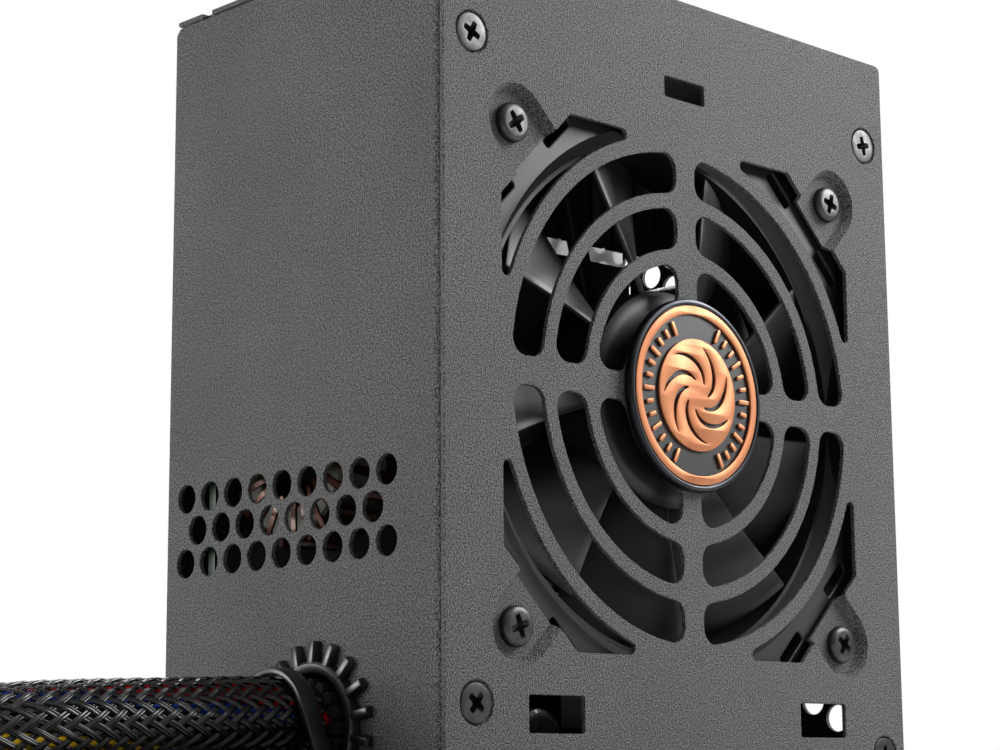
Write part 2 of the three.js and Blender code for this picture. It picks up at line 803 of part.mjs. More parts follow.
/** Route of the main cable, from the grommet round to the back of the unit. */
const mainRoute = fromWall([
  [-2.3, -3.9, 13.9],
  [-8.5, -3.9, 13.9],
  [-15, -4.3, 13.7],
  [-24, -5.0, 13.3],
  [-35, -5.2, 12.9],
  [-50, -5.2, 12.0],
  [-69.1, -1.4, 9.6],
  [-85.2, 9.4, 7.6],
  [-96, 25.5, 6.8],
  [-99.8, 44.6, 6.7],
  [-96, 63.7, 6.7],
  [-85.2, 79.8, 6.7],
  [-69.1, 90.6, 6.7],
  [-50, 94.4, 6.7],
  [-30, 93.4, 6.7],
  [-10, 88.2, 6.7],
  [8, 80.4, 6.7],
  [24, 73.2, 6.7],
  [37, 69.2, 6.7],
  [42, 69.0, 6.7],
  [46, 69.0, 6.7],
]);

/** Route of the processor cable, outside the main one. */
const cpuRoute = fromWall([
  [-2.3, -10.7, 5.5],
  [-8.5, -10.7, 5.5],
  [-15, -11.6, 5.7],
  [-24, -13.3, 6.0],
  [-35, -14.0, 6.0],
  [-50, -15.6, 5.0],
  [-73.3, -11.7, 4.2],
  [-93.1, 1.5, 4.2],
  [-106.3, 21.3, 4.2],
  [-110.9, 44.6, 4.2],
  [-106.3, 67.9, 4.2],
  [-93.1, 87.7, 4.2],
  [-73.3, 100.9, 4.2],
  [-50, 105.6, 4.2],
  [-30, 106.4, 4.2],
  [-10, 106.8, 4.2],
  [10, 107.6, 4.2],
  [30, 108.8, 4.2],
  [50, 110.0, 4.2],
  [66, 110.6, 4.2],
  [80, 110.8, 4.2],
]);

/** A wedge of wires that widens from a cable's end to the back of a plug. */
function wireFan(end, nearHalf, far, farHalf) {
  const y = end[1];
  const outline = [
    new THREE.Vector2(end[0] + gap, y - nearHalf),
    new THREE.Vector2(far, y - farHalf),
    new THREE.Vector2(far, y + farHalf),
    new THREE.Vector2(end[0] + gap, y + nearHalf),
  ];
  return alongZ(outline, 1, plugBlockHeight - 1);
}

/** A plug block of two rows of square pockets, facing +X, from its lowest y. */
function plugBlock(xBack, yLow, columns) {
  const width = columns * plugPitch + 2 * plugMargin;
  const top = plugLift + plugBlockHeight;
  const body = block([xBack, yLow, plugLift], [xBack + plugLength, yLow + width, top]);
  const pockets = [];
  const half = plugPocket / 2;
  for (let column = 0; column < columns; column += 1) {
    [-0.5, 0.5].forEach((row) => {
      const y = yLow + plugMargin + (column + 0.5) * plugPitch;
      const z = plugLift + plugBlockHeight / 2 + row * plugPitch;
      const low = [xBack + plugLength - plugPocketDepth, y - half, z - half];
      pockets.push(block(low, [xBack + plugLength + 1, y + half, z + half]));
    });
  }
  return shaped(body, [], pockets);
}

/** The latch lever on top of a plug, with a stem at its middle and a hook at its front. */
function plugLatch(xBack, yMiddle, width) {
  const base = plugLift + plugBlockHeight + gap;
  const outline = [
    [xBack + 1, base + 1.9],
    [xBack + 6.2, base + 1.5],
    [xBack + 6.2, base],
    [xBack + 8.2, base],
    [xBack + 8.2, base + 1.5],
    [xBack + plugLength + 0.6, base + 1.5],
    [xBack + plugLength + 0.6, base + 0.7],
    [xBack + plugLength + 2.2, base + 1.6],
    [xBack + plugLength + 2.2, base + 2.7],
    [xBack + 6, base + 2.7],
    [xBack + 1, base + 3.1],
  ].map(([x, z]) => new THREE.Vector2(x, z));
  return alongY(outline, yMiddle - width / 2, yMiddle + width / 2);
}

function mainCablePieces() {
  part('main_cable', tube(mainRoute, mainRadius, 10, 26), 0x1d1c1f, 0.6, 0);
  const end = mainRoute[mainRoute.length - 1];
  const plugBack = end[0] + mainWireLength;
  const blockWidth = (columns) => columns * plugPitch + 2 * plugMargin;
  const total = blockWidth(10) + gap + blockWidth(2);
  const yLow = end[1] - total / 2;
  const fan = wireFan(end, 5, plugBack - gap, total / 2 - wireInset);
  part('main_wires', fan, 0x9a2a24, 0.5, 0);
  part('main_plug_20', plugBlock(plugBack, yLow, 10), ...blackPlastic);
  part('main_plug_4', plugBlock(plugBack, yLow + blockWidth(10) + gap, 2), ...blackPlastic);
  part('main_latch', plugLatch(plugBack, yLow + blockWidth(10) / 2, 8), ...blackPlastic);
}

function cpuCablePieces() {
  part('cpu_cable', tube(cpuRoute, cpuRadius, 8, 40), 0x2a2616, 0.6, 0);
  const end = cpuRoute[cpuRoute.length - 1];
  const plugBack = end[0] + cpuWireLength;
  const width = 2 * plugPitch + 2 * plugMargin;
  const total = 2 * width + gap;
  const yLow = end[1] - total / 2;
  const fan = wireFan(end, 3, plugBack - gap, total / 2 - wireInset);
  part('cpu_wires', fan, 0xd0b020, 0.5, 0);
  part('cpu_plug_a', plugBlock(plugBack, yLow, 2), ...blackPlastic);
  part('cpu_plug_b', plugBlock(plugBack, yLow + width + gap, 2), ...blackPlastic);
  part('cpu_latch', plugLatch(plugBack, yLow + width / 2, 5.4), ...blackPlastic);
}

function loom() {
  const route = [
    [xCable - grommetProud - 2 * gap, exitY, exitZ],
    [xCable + 4, exitY, exitZ],
    [xCable + 9, exitY + 2.2, exitZ + 0.6],
    [xCable + 13.5, exitY + 9, exitZ + 1.6],
    [xCable + 15, exitY + 18, exitZ + 2],
    [xCable + 15, boardFront - gap, exitZ + 2],
  ];
  return tube(route, loomRadius, 10, 16);
}

/** The inlet's outline: a rectangle with two cut corners on its upper side. */
function inletOutline(inset) {
  const w = inletWidth / 2 - inset;
  const h = inletHeight / 2 - inset;
  const cut = inletCorner;
  return [[-w, -h], [w, -h], [w, h - cut], [w - cut, h], [cut - w, h], [-w, h - cut]]
    .map(([y, z]) => new THREE.Vector2(inletY + y, inletZ + z));
}

function mainsPieces() {
  const face = xMains + inletProud;
  const back = xMains - inletReach;
  const body = alongX(inletOutline(0), back, face);
  const rim = rectangle(inletY, inletZ, inletWidth / 2 + inletFlange, inletHeight / 2 + inletFlange);
  const flange = alongX(rim, xMains + hairGap, face);
  const cavity = alongX(inletOutline(inletWall), face - inletCavity, face + 1);
  const floor = face - inletCavity;
  const pins = [[-bladeSpacing, earthRow], [0, earthRow + earthOffset], [bladeSpacing, earthRow]];
  const slots = pins.map(([y, z]) => {
    const hole = rectangle(inletY + y, inletZ + z, pinWidth / 2 + gap, pinTall / 2 + gap);
    return alongX(hole, back - 1, face);
  });
  part('mains_inlet', shaped(body, [flange], [cavity, ...slots]), ...blackPlastic);
  pins.forEach(([y, z], index) => {
    const outline = rectangle(inletY + y, inletZ + z, pinWidth / 2, pinTall / 2);
    part(`inlet_blade_${index + 1}`, alongX(outline, back - 3, floor + pinLength), ...steel);
  });
}

/** The rocker's side outline in (x, z) about its pivot: two faces that meet in a shallow V. */
function rockerOutline() {
  const half = switchTall / 2 - switchWall - gap;
  return [
    [-4.2, -half + 2.6],
    [1.6, -half + 0.9],
    [3.4, -half + 0.9],
    [2.1, 0],
    [3.4, half - 0.9],
    [1.6, half - 0.9],
    [-4.2, half - 2.6],
  ].map(([x, z]) => new THREE.Vector2(x, z));
}

function switchPieces() {
  const face = xMains + switchProud;
  const outline = rectangle(switchY, switchZ, switchWidth / 2, switchTall / 2);
  const body = alongX(outline, xMains - switchReach, face);
  const rim = rectangle(switchY, switchZ, switchWidth / 2 + switchFlange, switchTall / 2 + switchFlange);
  const flange = alongX(rim, xMains + hairGap, face);
  const halfWidth = switchWidth / 2 - switchWall;
  const well = rectangle(switchY, switchZ, halfWidth, switchTall / 2 - switchWall);
  const cavity = alongX(well, xMains - switchReach + switchWall, face + 1);
  part('switch_bezel', shaped(body, [flange], [cavity]), ...blackPlastic);
  const rocker = alongY(rockerOutline(), -halfWidth + gap, halfWidth - gap);
  const mesh = part('switch_rocker', rocker, 0x1b1b1e, 0.3, 0);
  mesh.position.set(xMains - 1, switchY, switchZ);
  mesh.rotation.y = THREE.MathUtils.degToRad(rockerTilt);
}

function boardPieces() {
  const left = xCable + boardMargin;
  const right = xMains - boardMargin;
  const low = wallLow + boardMargin - 1;
  const high = wallHigh - boardMargin + 1;
  const outline = (grow) => [
    [left - grow, low - grow],
    [boardNotchX + grow, low - grow],
    [boardNotchX + grow, boardNotchTop - grow],
    [right + grow, boardNotchTop - grow],
    [right + grow, high + grow],
    [left - grow, high + grow],
  ].map(([x, z]) => new THREE.Vector2(x, z));
  const holes = (radius) => boardScrews.map(([x, z]) => ringPoints(x, z, radius, 10).reverse());
  const board = alongY(outline(0), boardFront, boardBack, holes(boardScrewShank + gap));
  part('circuit_board', board, 0x2c5a35, 0.6, 0);
  const film = alongY(
    outline(0.8),
    baseInside - gap - sheetThickness,
    baseInside - gap,
    holes(standoffRadius + gap),
  );
  part('insulation_sheet', film, 0x26262a, 0.4, 0);
  const seat = boardFront - hairGap;
  const profile = panHead(boardScrewHead, boardScrewHeadHeight, boardScrewShank, boardScrewLength, seat);
  boardScrews.forEach(([x, z], index) => {
    part(`board_screw_${index + 1}`, turnedY(profile, x, z, 10), ...steel);
  });
}

/** A can standing on the board, its top a given drop below the fan. */
function can(name, x, z, radius, drop, colour) {
  const top = headroomFront + drop;
  const foot = boardFront - gap;
  const profile = [[0, top], [radius - 0.6, top], [radius, top + 0.6], [radius, foot], [0, foot]];
  part(name, turnedY(profile, x, z, 20), colour, 0.4, 0.1);
}

/** A block standing on the board between two x and two z, its top a drop below the fan. */
function standing(xLow, xHigh, zLow, zHigh, drop) {
  return block([xLow, headroomFront + drop, zLow], [xHigh, boardFront - gap, zHigh]);
}

/** A folded heatsink plate standing on the board, with a turned-over top. */
function heatsink(name, xLow, xHigh, z, lip, drop) {
  const top = headroomFront + drop;
  const foot = boardFront - gap;
  const half = Math.sign(lip) * heatsinkPlate / 2;
  const outline = [
    [foot, z - half],
    [foot, z + half],
    [top + heatsinkPlate, z + half],
    [top + heatsinkPlate, z + lip],
    [top, z + lip],
    [top, z - half],
  ].map(([y, zed]) => new THREE.Vector2(y, zed));
  const ordered = THREE.ShapeUtils.isClockWise(outline) ? outline.reverse() : outline;
  part(name, alongX(ordered, xLow, xHigh), ...aluminium);
}

function transformerPieces() {
  const [xLow, xHigh, zLow, zHigh] = [-17, 13, 62, 88];
  const core = standing(xLow, xHigh, zLow, zHigh, 6);
  const top = headroomFront + 6;
  const foot = boardFront - gap;
  const wall = 5;
  const window = block([xLow + wall, top + wall, zLow - 1], [xHigh - wall, foot - wall, zHigh + 1]);
  const limb = block([-5, top + 1, zLow + 6], [1, foot - 1, zHigh - 6]);
  const joined = solid(core).subtract(solid(window)).add(solid(limb));
  part('transformer_core', geometryOf(joined), ...ferrite);
  const outer = block(
    [xLow + wall + gap, top + wall + gap, zLow + 1.5],
    [xHigh - wall - gap, foot - wall - gap, zHigh - 1.5],
  );
  const middle = block([-5 - gap, top, zLow + 6 - gap], [1 + gap, foot, zHigh - 6 + gap]);
  part('transformer_winding', shaped(outer, [], [middle]), 0xc9a227, 0.5, 0);
}

function outputChoke() {
  const y = boardFront - gap - 14;
  const profile = [[6, -5], [14, -5], [14, 5], [6, 5], [6, -5]];
  return turnedX(profile.map(([r, x]) => [r, x + xCable + 11.5]), y, 54, 20);
}

function boardParts() {
  transformerPieces();
  can('bulk_capacitor', 33, 78, 11, 1.5, 0x202226);
  [[-14, 12], [-14, 23.5], [-2.5, 12]].forEach(([x, z], index) => {
    can(`output_capacitor_${index + 1}`, x, z, 5, 12, 0x23262b);
  });
  heatsink('secondary_heatsink', xCable + 6.5, -4, 35, -9, 3);
  heatsink('primary_heatsink', -14, 36, 106, -16, 3);
  part('mains_choke', standing(4, 20, 14, 31, 14), 0x8f5a2a, 0.5, 0.2);
  part('output_choke', outputChoke(), 0xb9a43c, 0.5, 0);
  part('filter_capacitor', standing(-2, 17, 48, 57, 18), 0xd8b12c, 0.4, 0);
  part('bridge_rectifier', standing(-2, 14, 109, 113, 15), 0x1c1c1f, 0.4, 0);
}

function fanLead() {
  const route = [
    [-20, fanBack + 1.6, fanZ + 4],
    [-28, fanBack + 2.2, fanZ + 9],
    [-34, fanBack + 6, fanZ + 16],
    [-36, fanBack + 14, fanZ + 24],
    [-36, fanBack + 26, fanZ + 28],
    [-36, boardFront - gap, fanZ + 28],
  ];
  return tube(route, 1.2, 8, 10);
}

part('base_shell', baseShell(), ...powderCoat);
part('cover_shell', coverShell(), ...powderCoat);
caseScrewPieces();
part('fan_frame', fanFrame(), ...blackPlastic);
part('fan_rotor', fanRotor(), 0x1a1a1c, 0.4, 0);
fanMotorPieces();
fanScrewPieces();
part('fan_lead', fanLead(), 0x701a18, 0.5, 0);
badgePieces();
part('cable_grommet', grommet(), ...blackPlastic);
part('cable_tie', cableTie(), ...blackPlastic);
part('wire_loom', loom(), 0x3a2020, 0.6, 0);
mainCablePieces();
cpuCablePieces();
mainsPieces();
switchPieces();
boardPieces();
boardParts();

export default group;
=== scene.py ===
"""Looks of a small power supply unit: sheet steel case, grille fan, mains wall and two sleeved cables.

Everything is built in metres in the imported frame, from sizes kept in millimetres by each class.
"""

import logging
import math
from dataclasses import dataclass
from enum import Enum
from typing import Optional, Sequence

import bmesh
import bpy
from mathutils import Matrix, Vector


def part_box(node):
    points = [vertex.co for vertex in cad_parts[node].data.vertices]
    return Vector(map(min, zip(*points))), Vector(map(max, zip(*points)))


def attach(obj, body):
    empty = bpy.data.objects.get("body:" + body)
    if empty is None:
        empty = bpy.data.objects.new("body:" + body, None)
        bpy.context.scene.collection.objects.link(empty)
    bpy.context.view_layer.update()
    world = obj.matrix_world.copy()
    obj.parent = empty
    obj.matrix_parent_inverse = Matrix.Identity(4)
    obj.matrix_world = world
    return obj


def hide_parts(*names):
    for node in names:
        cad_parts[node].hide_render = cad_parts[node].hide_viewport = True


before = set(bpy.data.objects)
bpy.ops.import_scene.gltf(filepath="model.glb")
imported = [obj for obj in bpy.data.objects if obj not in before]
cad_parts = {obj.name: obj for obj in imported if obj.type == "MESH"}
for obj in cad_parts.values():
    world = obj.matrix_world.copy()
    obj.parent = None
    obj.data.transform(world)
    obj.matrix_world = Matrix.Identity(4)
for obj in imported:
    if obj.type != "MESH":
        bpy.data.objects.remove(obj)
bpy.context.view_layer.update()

MM = 0.001
DEPTH = 100.0
THICKNESS = 63.5
HEIGHT = 125.0
SHEET = 0.8
FAN_Z = HEIGHT / 2
FAN_SQUARE = 71.5
FACE_Y = -THICKNESS / 2
WALL_X = DEPTH / 2
VENT_RADIUS = 2.2
VENT_PITCH = 5.78
VENT_ROWS = 4.93
CASE_SCREWS = [(-44.5, 109.6), (44.8, 109.7), (-44.2, 16.2), (45.0, 9.5)]
BOARD_SCREWS = [(-42, 8.5), (18, 8.5), (-42, 116.5), (42, 116.5)]
CORNERS = [(-1, 1), (1, 1), (-1, -1), (1, -1)]
LOG = logging.getLogger("power_supply")

Pair = tuple[float, float]
Loop = Sequence[Pair]


def linear(code: str) -> tuple[float, float, float, float]:
    """Linear RGBA of an sRGB hex colour.

    Args:
        code: six hex digits, such as "1e1e20".

    Returns:
        The colour with full alpha.
    """
    parts = [int(code[i:i + 2], 16) / 255 for i in (0, 2, 4)]
    return tuple(c / 12.92 if c <= 0.04045 else ((c + 0.055) / 1.055) ** 2.4 for c in parts) + (1.0,)


def add_node(tree: bpy.types.NodeTree, kind: str, inputs: dict, **settings: object) -> bpy.types.Node:
    """A new shader node with its settings, values and links.

    Args:
        tree: the node tree it goes in.
        kind: the node's type name.
        inputs: socket name or index to a value, or to the output socket it is fed from.
        settings: attributes of the node.

    Returns:
        The node.
    """
    node = tree.nodes.new(kind)
    for name, value in settings.items():
        setattr(node, name, value)
    for name, value in inputs.items():
        if isinstance(value, bpy.types.NodeSocket):
            tree.links.new(value, node.inputs[name])
        else:
            node.inputs[name].default_value = value
    return node


class Pattern(Enum):
    """How a finish varies over its surface."""

    GRAIN = "grain"
    BRUSHED = "brushed"
    RIBBED = "ribbed"


@dataclass(frozen=True)
class Finish:
    """A real material and the way its surface was made.

    Colours are sRGB hex, and every length is in millimetres.
    """

    name: str
    colour: str
    second: str
    roughness: Pair
    grain: float
    relief: float
    mottle: float = 6.0
    speck: float = 0.0
    metallic: float = 0.0
    ior: float = 1.5
    coat: float = 0.0
    pattern: Pattern = Pattern.GRAIN
    stretch: tuple[float, float, float] = (1.0, 1.0, 1.0)
    ribs: float = 0.0

    def material(self) -> bpy.types.Material:
        """The procedural material, made once and then shared."""
        found = bpy.data.materials.get(self.name)
        if found:
            return found
        made = bpy.data.materials.new(self.name)
        made.use_nodes = True
        made.diffuse_color = linear(self.colour)
        tree = made.node_tree
        tree.nodes.clear()
        place = self.coordinates(tree)
        cloud = add_node(tree, "ShaderNodeTexNoise", {
            "Vector": place, "Scale": 1 / (self.mottle * MM), "Detail": 3.0, "Roughness": 0.6})
        fine = add_node(tree, "ShaderNodeTexNoise", {
            "Vector": place, "Scale": 1 / (self.grain * MM), "Detail": 2.0, "Roughness": 0.55})
        colour = self.tint(tree, cloud, fine)
        rough = add_node(tree, "ShaderNodeMapRange", {
            "Value": cloud.outputs["Fac"], "From Min": 0.3, "From Max": 0.7,
            "To Min": self.roughness[0], "To Max": self.roughness[1]})
        bump = add_node(tree, "ShaderNodeBump", {
            "Height": self.height(tree, fine), "Distance": self.relief * MM, "Strength": 1.0})
        shader = add_node(tree, "ShaderNodeBsdfPrincipled", {
            "Base Color": colour, "Roughness": rough.outputs[0], "Normal": bump.outputs[0],
            "Metallic": self.metallic, "IOR": self.ior, "Coat Weight": self.coat, "Coat Roughness": 0.08})
        add_node(tree, "ShaderNodeOutputMaterial", {"Surface": shader.outputs[0]})
        return made

    def coordinates(self, tree: bpy.types.NodeTree) -> bpy.types.NodeSocket:
        """Object coordinates, drawn out along the direction of any brushing."""
        source = add_node(tree, "ShaderNodeTexCoord", {}).outputs["Object"]
        if self.pattern is not Pattern.BRUSHED:
            return source
        return add_node(tree, "ShaderNodeMapping", {"Vector": source, "Scale": self.stretch}).outputs[0]

    def tint(self, tree: bpy.types.NodeTree, cloud: bpy.types.Node,
             fine: bpy.types.Node) -> bpy.types.NodeSocket:
        """The base colour, clouded between two tones and specked by the grain.

        Args:
            tree: the material's node tree.
            cloud: the broad noise.
            fine: the grain noise.

        Returns:
            The colour socket.
        """
        share = add_node(tree, "ShaderNodeMapRange", {
            "Value": cloud.outputs["Fac"], "From Min": 0.35, "From Max": 0.65}).outputs[0]
        base = add_node(tree, "ShaderNodeMix", {
            0: share, 6: linear(self.colour), 7: linear(self.second)}, data_type="RGBA").outputs[2]
        if not self.speck:
            return base
        grainy = add_node(tree, "ShaderNodeMapRange", {
            "Value": fine.outputs["Fac"], "From Min": 0.4, "From Max": 0.6,
            "To Min": 1 - self.speck, "To Max": 1 + self.speck}).outputs[0]
        return add_node(tree, "ShaderNodeVectorMath", {0: base, "Scale": grainy},
                        operation="SCALE").outputs[0]

    def height(self, tree: bpy.types.NodeTree, fine: bpy.types.Node) -> bpy.types.NodeSocket:
        """The relief: the grain alone, or with ridges across the piece's own UV map."""
        if self.pattern is not Pattern.RIBBED:
            return fine.outputs["Fac"]
        across = add_node(tree, "ShaderNodeSeparateXYZ", {
            "Vector": add_node(tree, "ShaderNodeTexCoord", {}).outputs["UV"]}).outputs[0]
        turns = add_node(tree, "ShaderNodeMath", {0: across, 1: self.ribs * math.pi}, operation="MULTIPLY")
        wave = add_node(tree, "ShaderNodeMath", {0: turns.outputs[0]}, operation="SINE")
        return add_node(tree, "ShaderNodeMath", {0: wave.outputs[0]}, operation="ABSOLUTE").outputs[0]


# Polyester powder coat, sprayed and baked: a dry satin black with fine sandy grain that glints.
# Real grain is about 0.15 mm; it is drawn at 0.25 mm so that it shows.
POWDER_COAT = Finish("powder_coat_fine_texture", "424243", "4a4a4b", (0.48, 0.56), 0.25, 0.5, speck=1.0,
                     mottle=30.0)
# Glass-filled PBT, moulded: near black with a soft sheen and faint flow clouding.
FAN_PLASTIC = Finish("pbt_moulded_satin", "0b0c0d", "101112", (0.42, 0.52), 0.5, 0.02, mottle=9.0)
# Nylon 6/6, moulded: black with a soft sheen along its edges.
GROMMET_PLASTIC = Finish("nylon_moulded_semi_gloss", "0b0b0c", "121213", (0.3, 0.4), 0.4, 0.02)
# Nylon 6/6 connector housings, moulded dull.
PLUG_PLASTIC = Finish("nylon_moulded_matt", "131314", "1b1b1c", (0.42, 0.55), 0.3, 0.02)
# Phenolic-look PBT of mains fittings, moulded with a light polish.
INLET_PLASTIC = Finish("pbt_moulded_polished", "0f0f10", "161617", (0.22, 0.32), 0.6, 0.01)
# Polycarbonate rocker, moulded glossy.
ROCKER_PLASTIC = Finish("polycarbonate_moulded_gloss", "0d0d0e", "131314", (0.12, 0.2), 0.8, 0.006,
                        coat=0.4)
# White pad-printed ink on the rocker.
PAD_INK = Finish("pad_print_ink_white", "e4e4e0", "d8d8d4", (0.4, 0.5), 0.3, 0.01)
# Nickel plated steel, cold headed and dulled: mid grey with faint die marks.
BRIGHT_STEEL = Finish("nickel_plated_steel_headed", "4e4e4d", "3f3f3e", (0.36, 0.46), 0.5, 0.015,
                      mottle=1.6, metallic=1.0)
# Tinned brass mains blades, stamped and burnished along their length.
BLADE_METAL = Finish("tinned_brass_stamped", "c9c6bd", "aeaba3", (0.2, 0.32), 0.35, 0.01, mottle=2.0,
                     metallic=1.0, pattern=Pattern.BRUSHED, stretch=(0.08, 1.0, 1.0))
# Ground carbon steel shaft.
SHAFT_STEEL = Finish("carbon_steel_ground", "a9aaac", "8f9092", (0.18, 0.26), 0.3, 0.008, metallic=1.0)
# Sintered bronze, pressed and oil filled.
BEARING_BRONZE = Finish("sintered_bronze_pressed", "9c7440", "7d5b30", (0.4, 0.55), 0.25, 0.03,
                        metallic=1.0)
# Copper tone plated badge metal, lightly brushed: warm and directional.
BADGE_BRONZE = Finish("copper_plated_zinc_brushed", "bd7c55", "a96b47", (0.42, 0.52), 0.3, 0.012,
                      mottle=5.0, metallic=0.7, pattern=Pattern.BRUSHED, stretch=(1.0, 1.0, 0.12))
# Die-cast zinc badge body with black chrome plate.
BADGE_METAL = Finish("black_chrome_die_cast_zinc", "3a3c3f", "2e3033", (0.3, 0.4), 0.6, 0.008, metallic=1.0)
# Dark enamel that fills the badge's recess.
BADGE_ENAMEL = Finish("enamel_fill_charcoal", "0e0f10", "131415", (0.35, 0.45), 0.4, 0.012, coat=0.3)
# Strontium ferrite and manganese zinc ferrite, pressed and ground: charcoal with dull sparkle.
FERRITE = Finish("ferrite_pressed_ground", "2b2c2f", "37383b", (0.55, 0.7), 0.35, 0.04, speck=0.3)
# Enamelled copper, wound in close layers: its colour is darkened to a dark red-brown as painted shade for
# the dim inside of the case.
COPPER_WIRE = Finish("enamelled_copper_wound", "421f10", "33170b", (0.3, 0.4), 0.5, 0.02, metallic=0.6,
                     coat=0.2)
# Polyester film tape, wrapped: amber with a slick surface.
WINDING_TAPE = Finish("polyester_tape_wrapped", "c8992a", "b28322", (0.2, 0.3), 1.2, 0.02, mottle=4.0)
# Iron powder toroid with its painted coat, its colour darkened to a dark olive as painted shade for the dim
# inside of the case.
CHOKE_CORE = Finish("iron_powder_core_painted", "2b2812", "232010", (0.45, 0.55), 0.4, 0.03)
# PET sleeve shrunk over an aluminium can.
CAN_SLEEVE = Finish("pet_sleeve_shrunk", "1c2530", "151c26", (0.2, 0.3), 0.8, 0.01, coat=0.3)
# Aluminium sheet, cut and deburred, with fine rolling lines, its colour darkened to a dark grey as painted
# shade for the dim inside of the case.
HEATSINK_METAL = Finish("aluminium_rolled_deburred", "4a4c4f", "3b3d40", (0.45, 0.55), 0.25, 0.012,
                        metallic=1.0, pattern=Pattern.BRUSHED, stretch=(0.06, 1.0, 1.0))
# Glass-epoxy board under green solder resist, its green darkened nearly to black as painted shade for the
# dim inside of the case.
BOARD_LAMINATE = Finish("fr4_solder_resist_green", "0f2a18", "0b2012", (0.3, 0.42), 0.6, 0.02, mottle=3.0,
                        coat=0.3)
# Polypropylene film sheet, die cut.
INSULATION_FILM = Finish("polypropylene_sheet_black", "222226", "2c2c31", (0.25, 0.36), 1.0, 0.02)
# Epoxy-filled polyester box of the filter capacitor.
FILTER_CASE = Finish("polyester_box_moulded_yellow", "d5ae2e", "c49e28", (0.3, 0.4), 0.5, 0.01)
# Epoxy transfer moulding of the rectifier.
RECTIFIER_CASE = Finish("epoxy_transfer_moulded", "1b1b1d", "242426", (0.5, 0.62), 0.3, 0.03)
# Nylon cable tie, moulded.
TIE_PLASTIC = Finish("nylon_tie_moulded", "0c0c0d", "121214", (0.3, 0.4), 0.5, 0.015)
# PET monofilament braid, three flat filaments side by side in each strand.
BRAID = Finish("pet_monofilament_braided", "050506", "09090a", (0.16, 0.24), 0.4, 0.05,
               pattern=Pattern.RIBBED, ribs=3.0)
# PVC wire insulation, extruded: saturated colours with a waxy sheen.
WIRE_COLOURS = {
    "black": "141416", "red": "b3121a", "yellow": "e2b916", "orange": "d9620f", "blue": "1d3f9c",
    "green": "1c7a38", "grey": "77787b", "purple": "5b2b86", "white": "d9d8d2",
}
WIRES = {
    name: Finish(f"pvc_extruded_{name}", code, code, (0.34, 0.44), 0.8, 0.01)
    for name, code in WIRE_COLOURS.items()
}


def arc(cu: float, cv: float, radius: float, start: float, end: float, steps: int) -> list[Pair]:
    """Points on an arc, angles in degrees, both ends included."""
    turns = [math.radians(start + (end - start) * i / steps) for i in range(steps + 1)]
    return [(cu + radius * math.cos(t), cv + radius * math.sin(t)) for t in turns]


def circle(cu: float, cv: float, radius: float, sides: int) -> list[Pair]:
    """A closed ring of points about a centre."""
    return arc(cu, cv, radius, 0, 360, sides)[:-1]


def rounded(cu: float, cv: float, half_u: float, half_v: float, radius: float,
            steps: int = 4) -> list[Pair]:
    """A rectangle with round corners, by its centre and half sizes."""
    points = []
    for su, sv, turn in ((1, 1, 0), (-1, 1, 90), (-1, -1, 180), (1, -1, 270)):
        points += arc(cu + su * (half_u - radius), cv + sv * (half_v - radius), radius, turn, turn + 90,
                      steps)
    return points


def turned(loop: Loop, degrees: float, centre: Pair = (0.0, 0.0)) -> list[Pair]:
    """The loop turned about a centre."""
    c, s = math.cos(math.radians(degrees)), math.sin(math.radians(degrees))
    cu, cv = centre
    return [(cu + (u - cu) * c - (v - cv) * s, cv + (u - cu) * s + (v - cv) * c) for u, v in loop]


def moved(loop: Loop, du: float, dv: float) -> list[Pair]:
    """The loop shifted in its plane."""
    return [(u + du, v + dv) for u, v in loop]


# Placings of a flat piece: its u, its v and its depth run along these directions.
FRONT = Matrix(((1, 0, 0), (0, 0, 1), (0, 1, 0))).to_4x4()
SIDE = Matrix(((0, 0, 1), (1, 0, 0), (0, 1, 0))).to_4x4()


def flat_plate(outer: Loop, holes: Sequence[Loop], depth: float,
               rounding: float = 0.12) -> bmesh.types.BMesh:
    """A flat plate with holes, cut edges softened, in millimetres.

    Args:
        outer: the outline in (u, v).
        holes: the outlines cut out of it.
        depth: its thickness, from 0 upwards.
        rounding: how far its edges are rounded.

    Returns:
        The plate, u along X, v along Y and its depth along Z.
    """
    curve = bpy.data.curves.new("flat", "CURVE")
    curve.dimensions = "2D"
    curve.fill_mode = "BOTH"
    curve.extrude = depth / 2 - rounding
    curve.bevel_depth = rounding
    curve.bevel_resolution = 1
    curve.offset = -rounding
    for loop in [outer, *holes]:
        spline = curve.splines.new("POLY")
        spline.points.add(len(loop) - 1)
        spline.points.foreach_set("co", [c for u, v in loop for c in (u, v, 0.0, 1.0)])
        spline.use_cyclic_u = True
    holder = bpy.data.objects.new("flat", curve)
    bpy.context.scene.collection.objects.link(holder)
    filled = bpy.data.meshes.new_from_object(holder.evaluated_get(bpy.context.evaluated_depsgraph_get()))
    bpy.data.objects.remove(holder)
    bpy.data.curves.remove(curve)
    plate = bmesh.new()
    plate.from_mesh(filled)
    bpy.data.meshes.remove(filled)
    bmesh.ops.remove_doubles(plate, verts=plate.verts, dist=0.002)
    bmesh.ops.translate(plate, verts=plate.verts, vec=(0, 0, depth / 2))
    bmesh.ops.recalc_face_normals(plate, faces=plate.faces)
    return plate


def placed(piece: bmesh.types.BMesh, frame_matrix: Matrix,
           at: Sequence[float] = (0, 0, 0)) -> bmesh.types.BMesh:
    """The piece turned by a placing and then moved, its faces still pointing outwards."""
    bmesh.ops.transform(piece, matrix=Matrix.Translation(at) @ frame_matrix, verts=piece.verts)
    if frame_matrix.determinant() < 0:
        bmesh.ops.reverse_faces(piece, faces=piece.faces)
    return piece


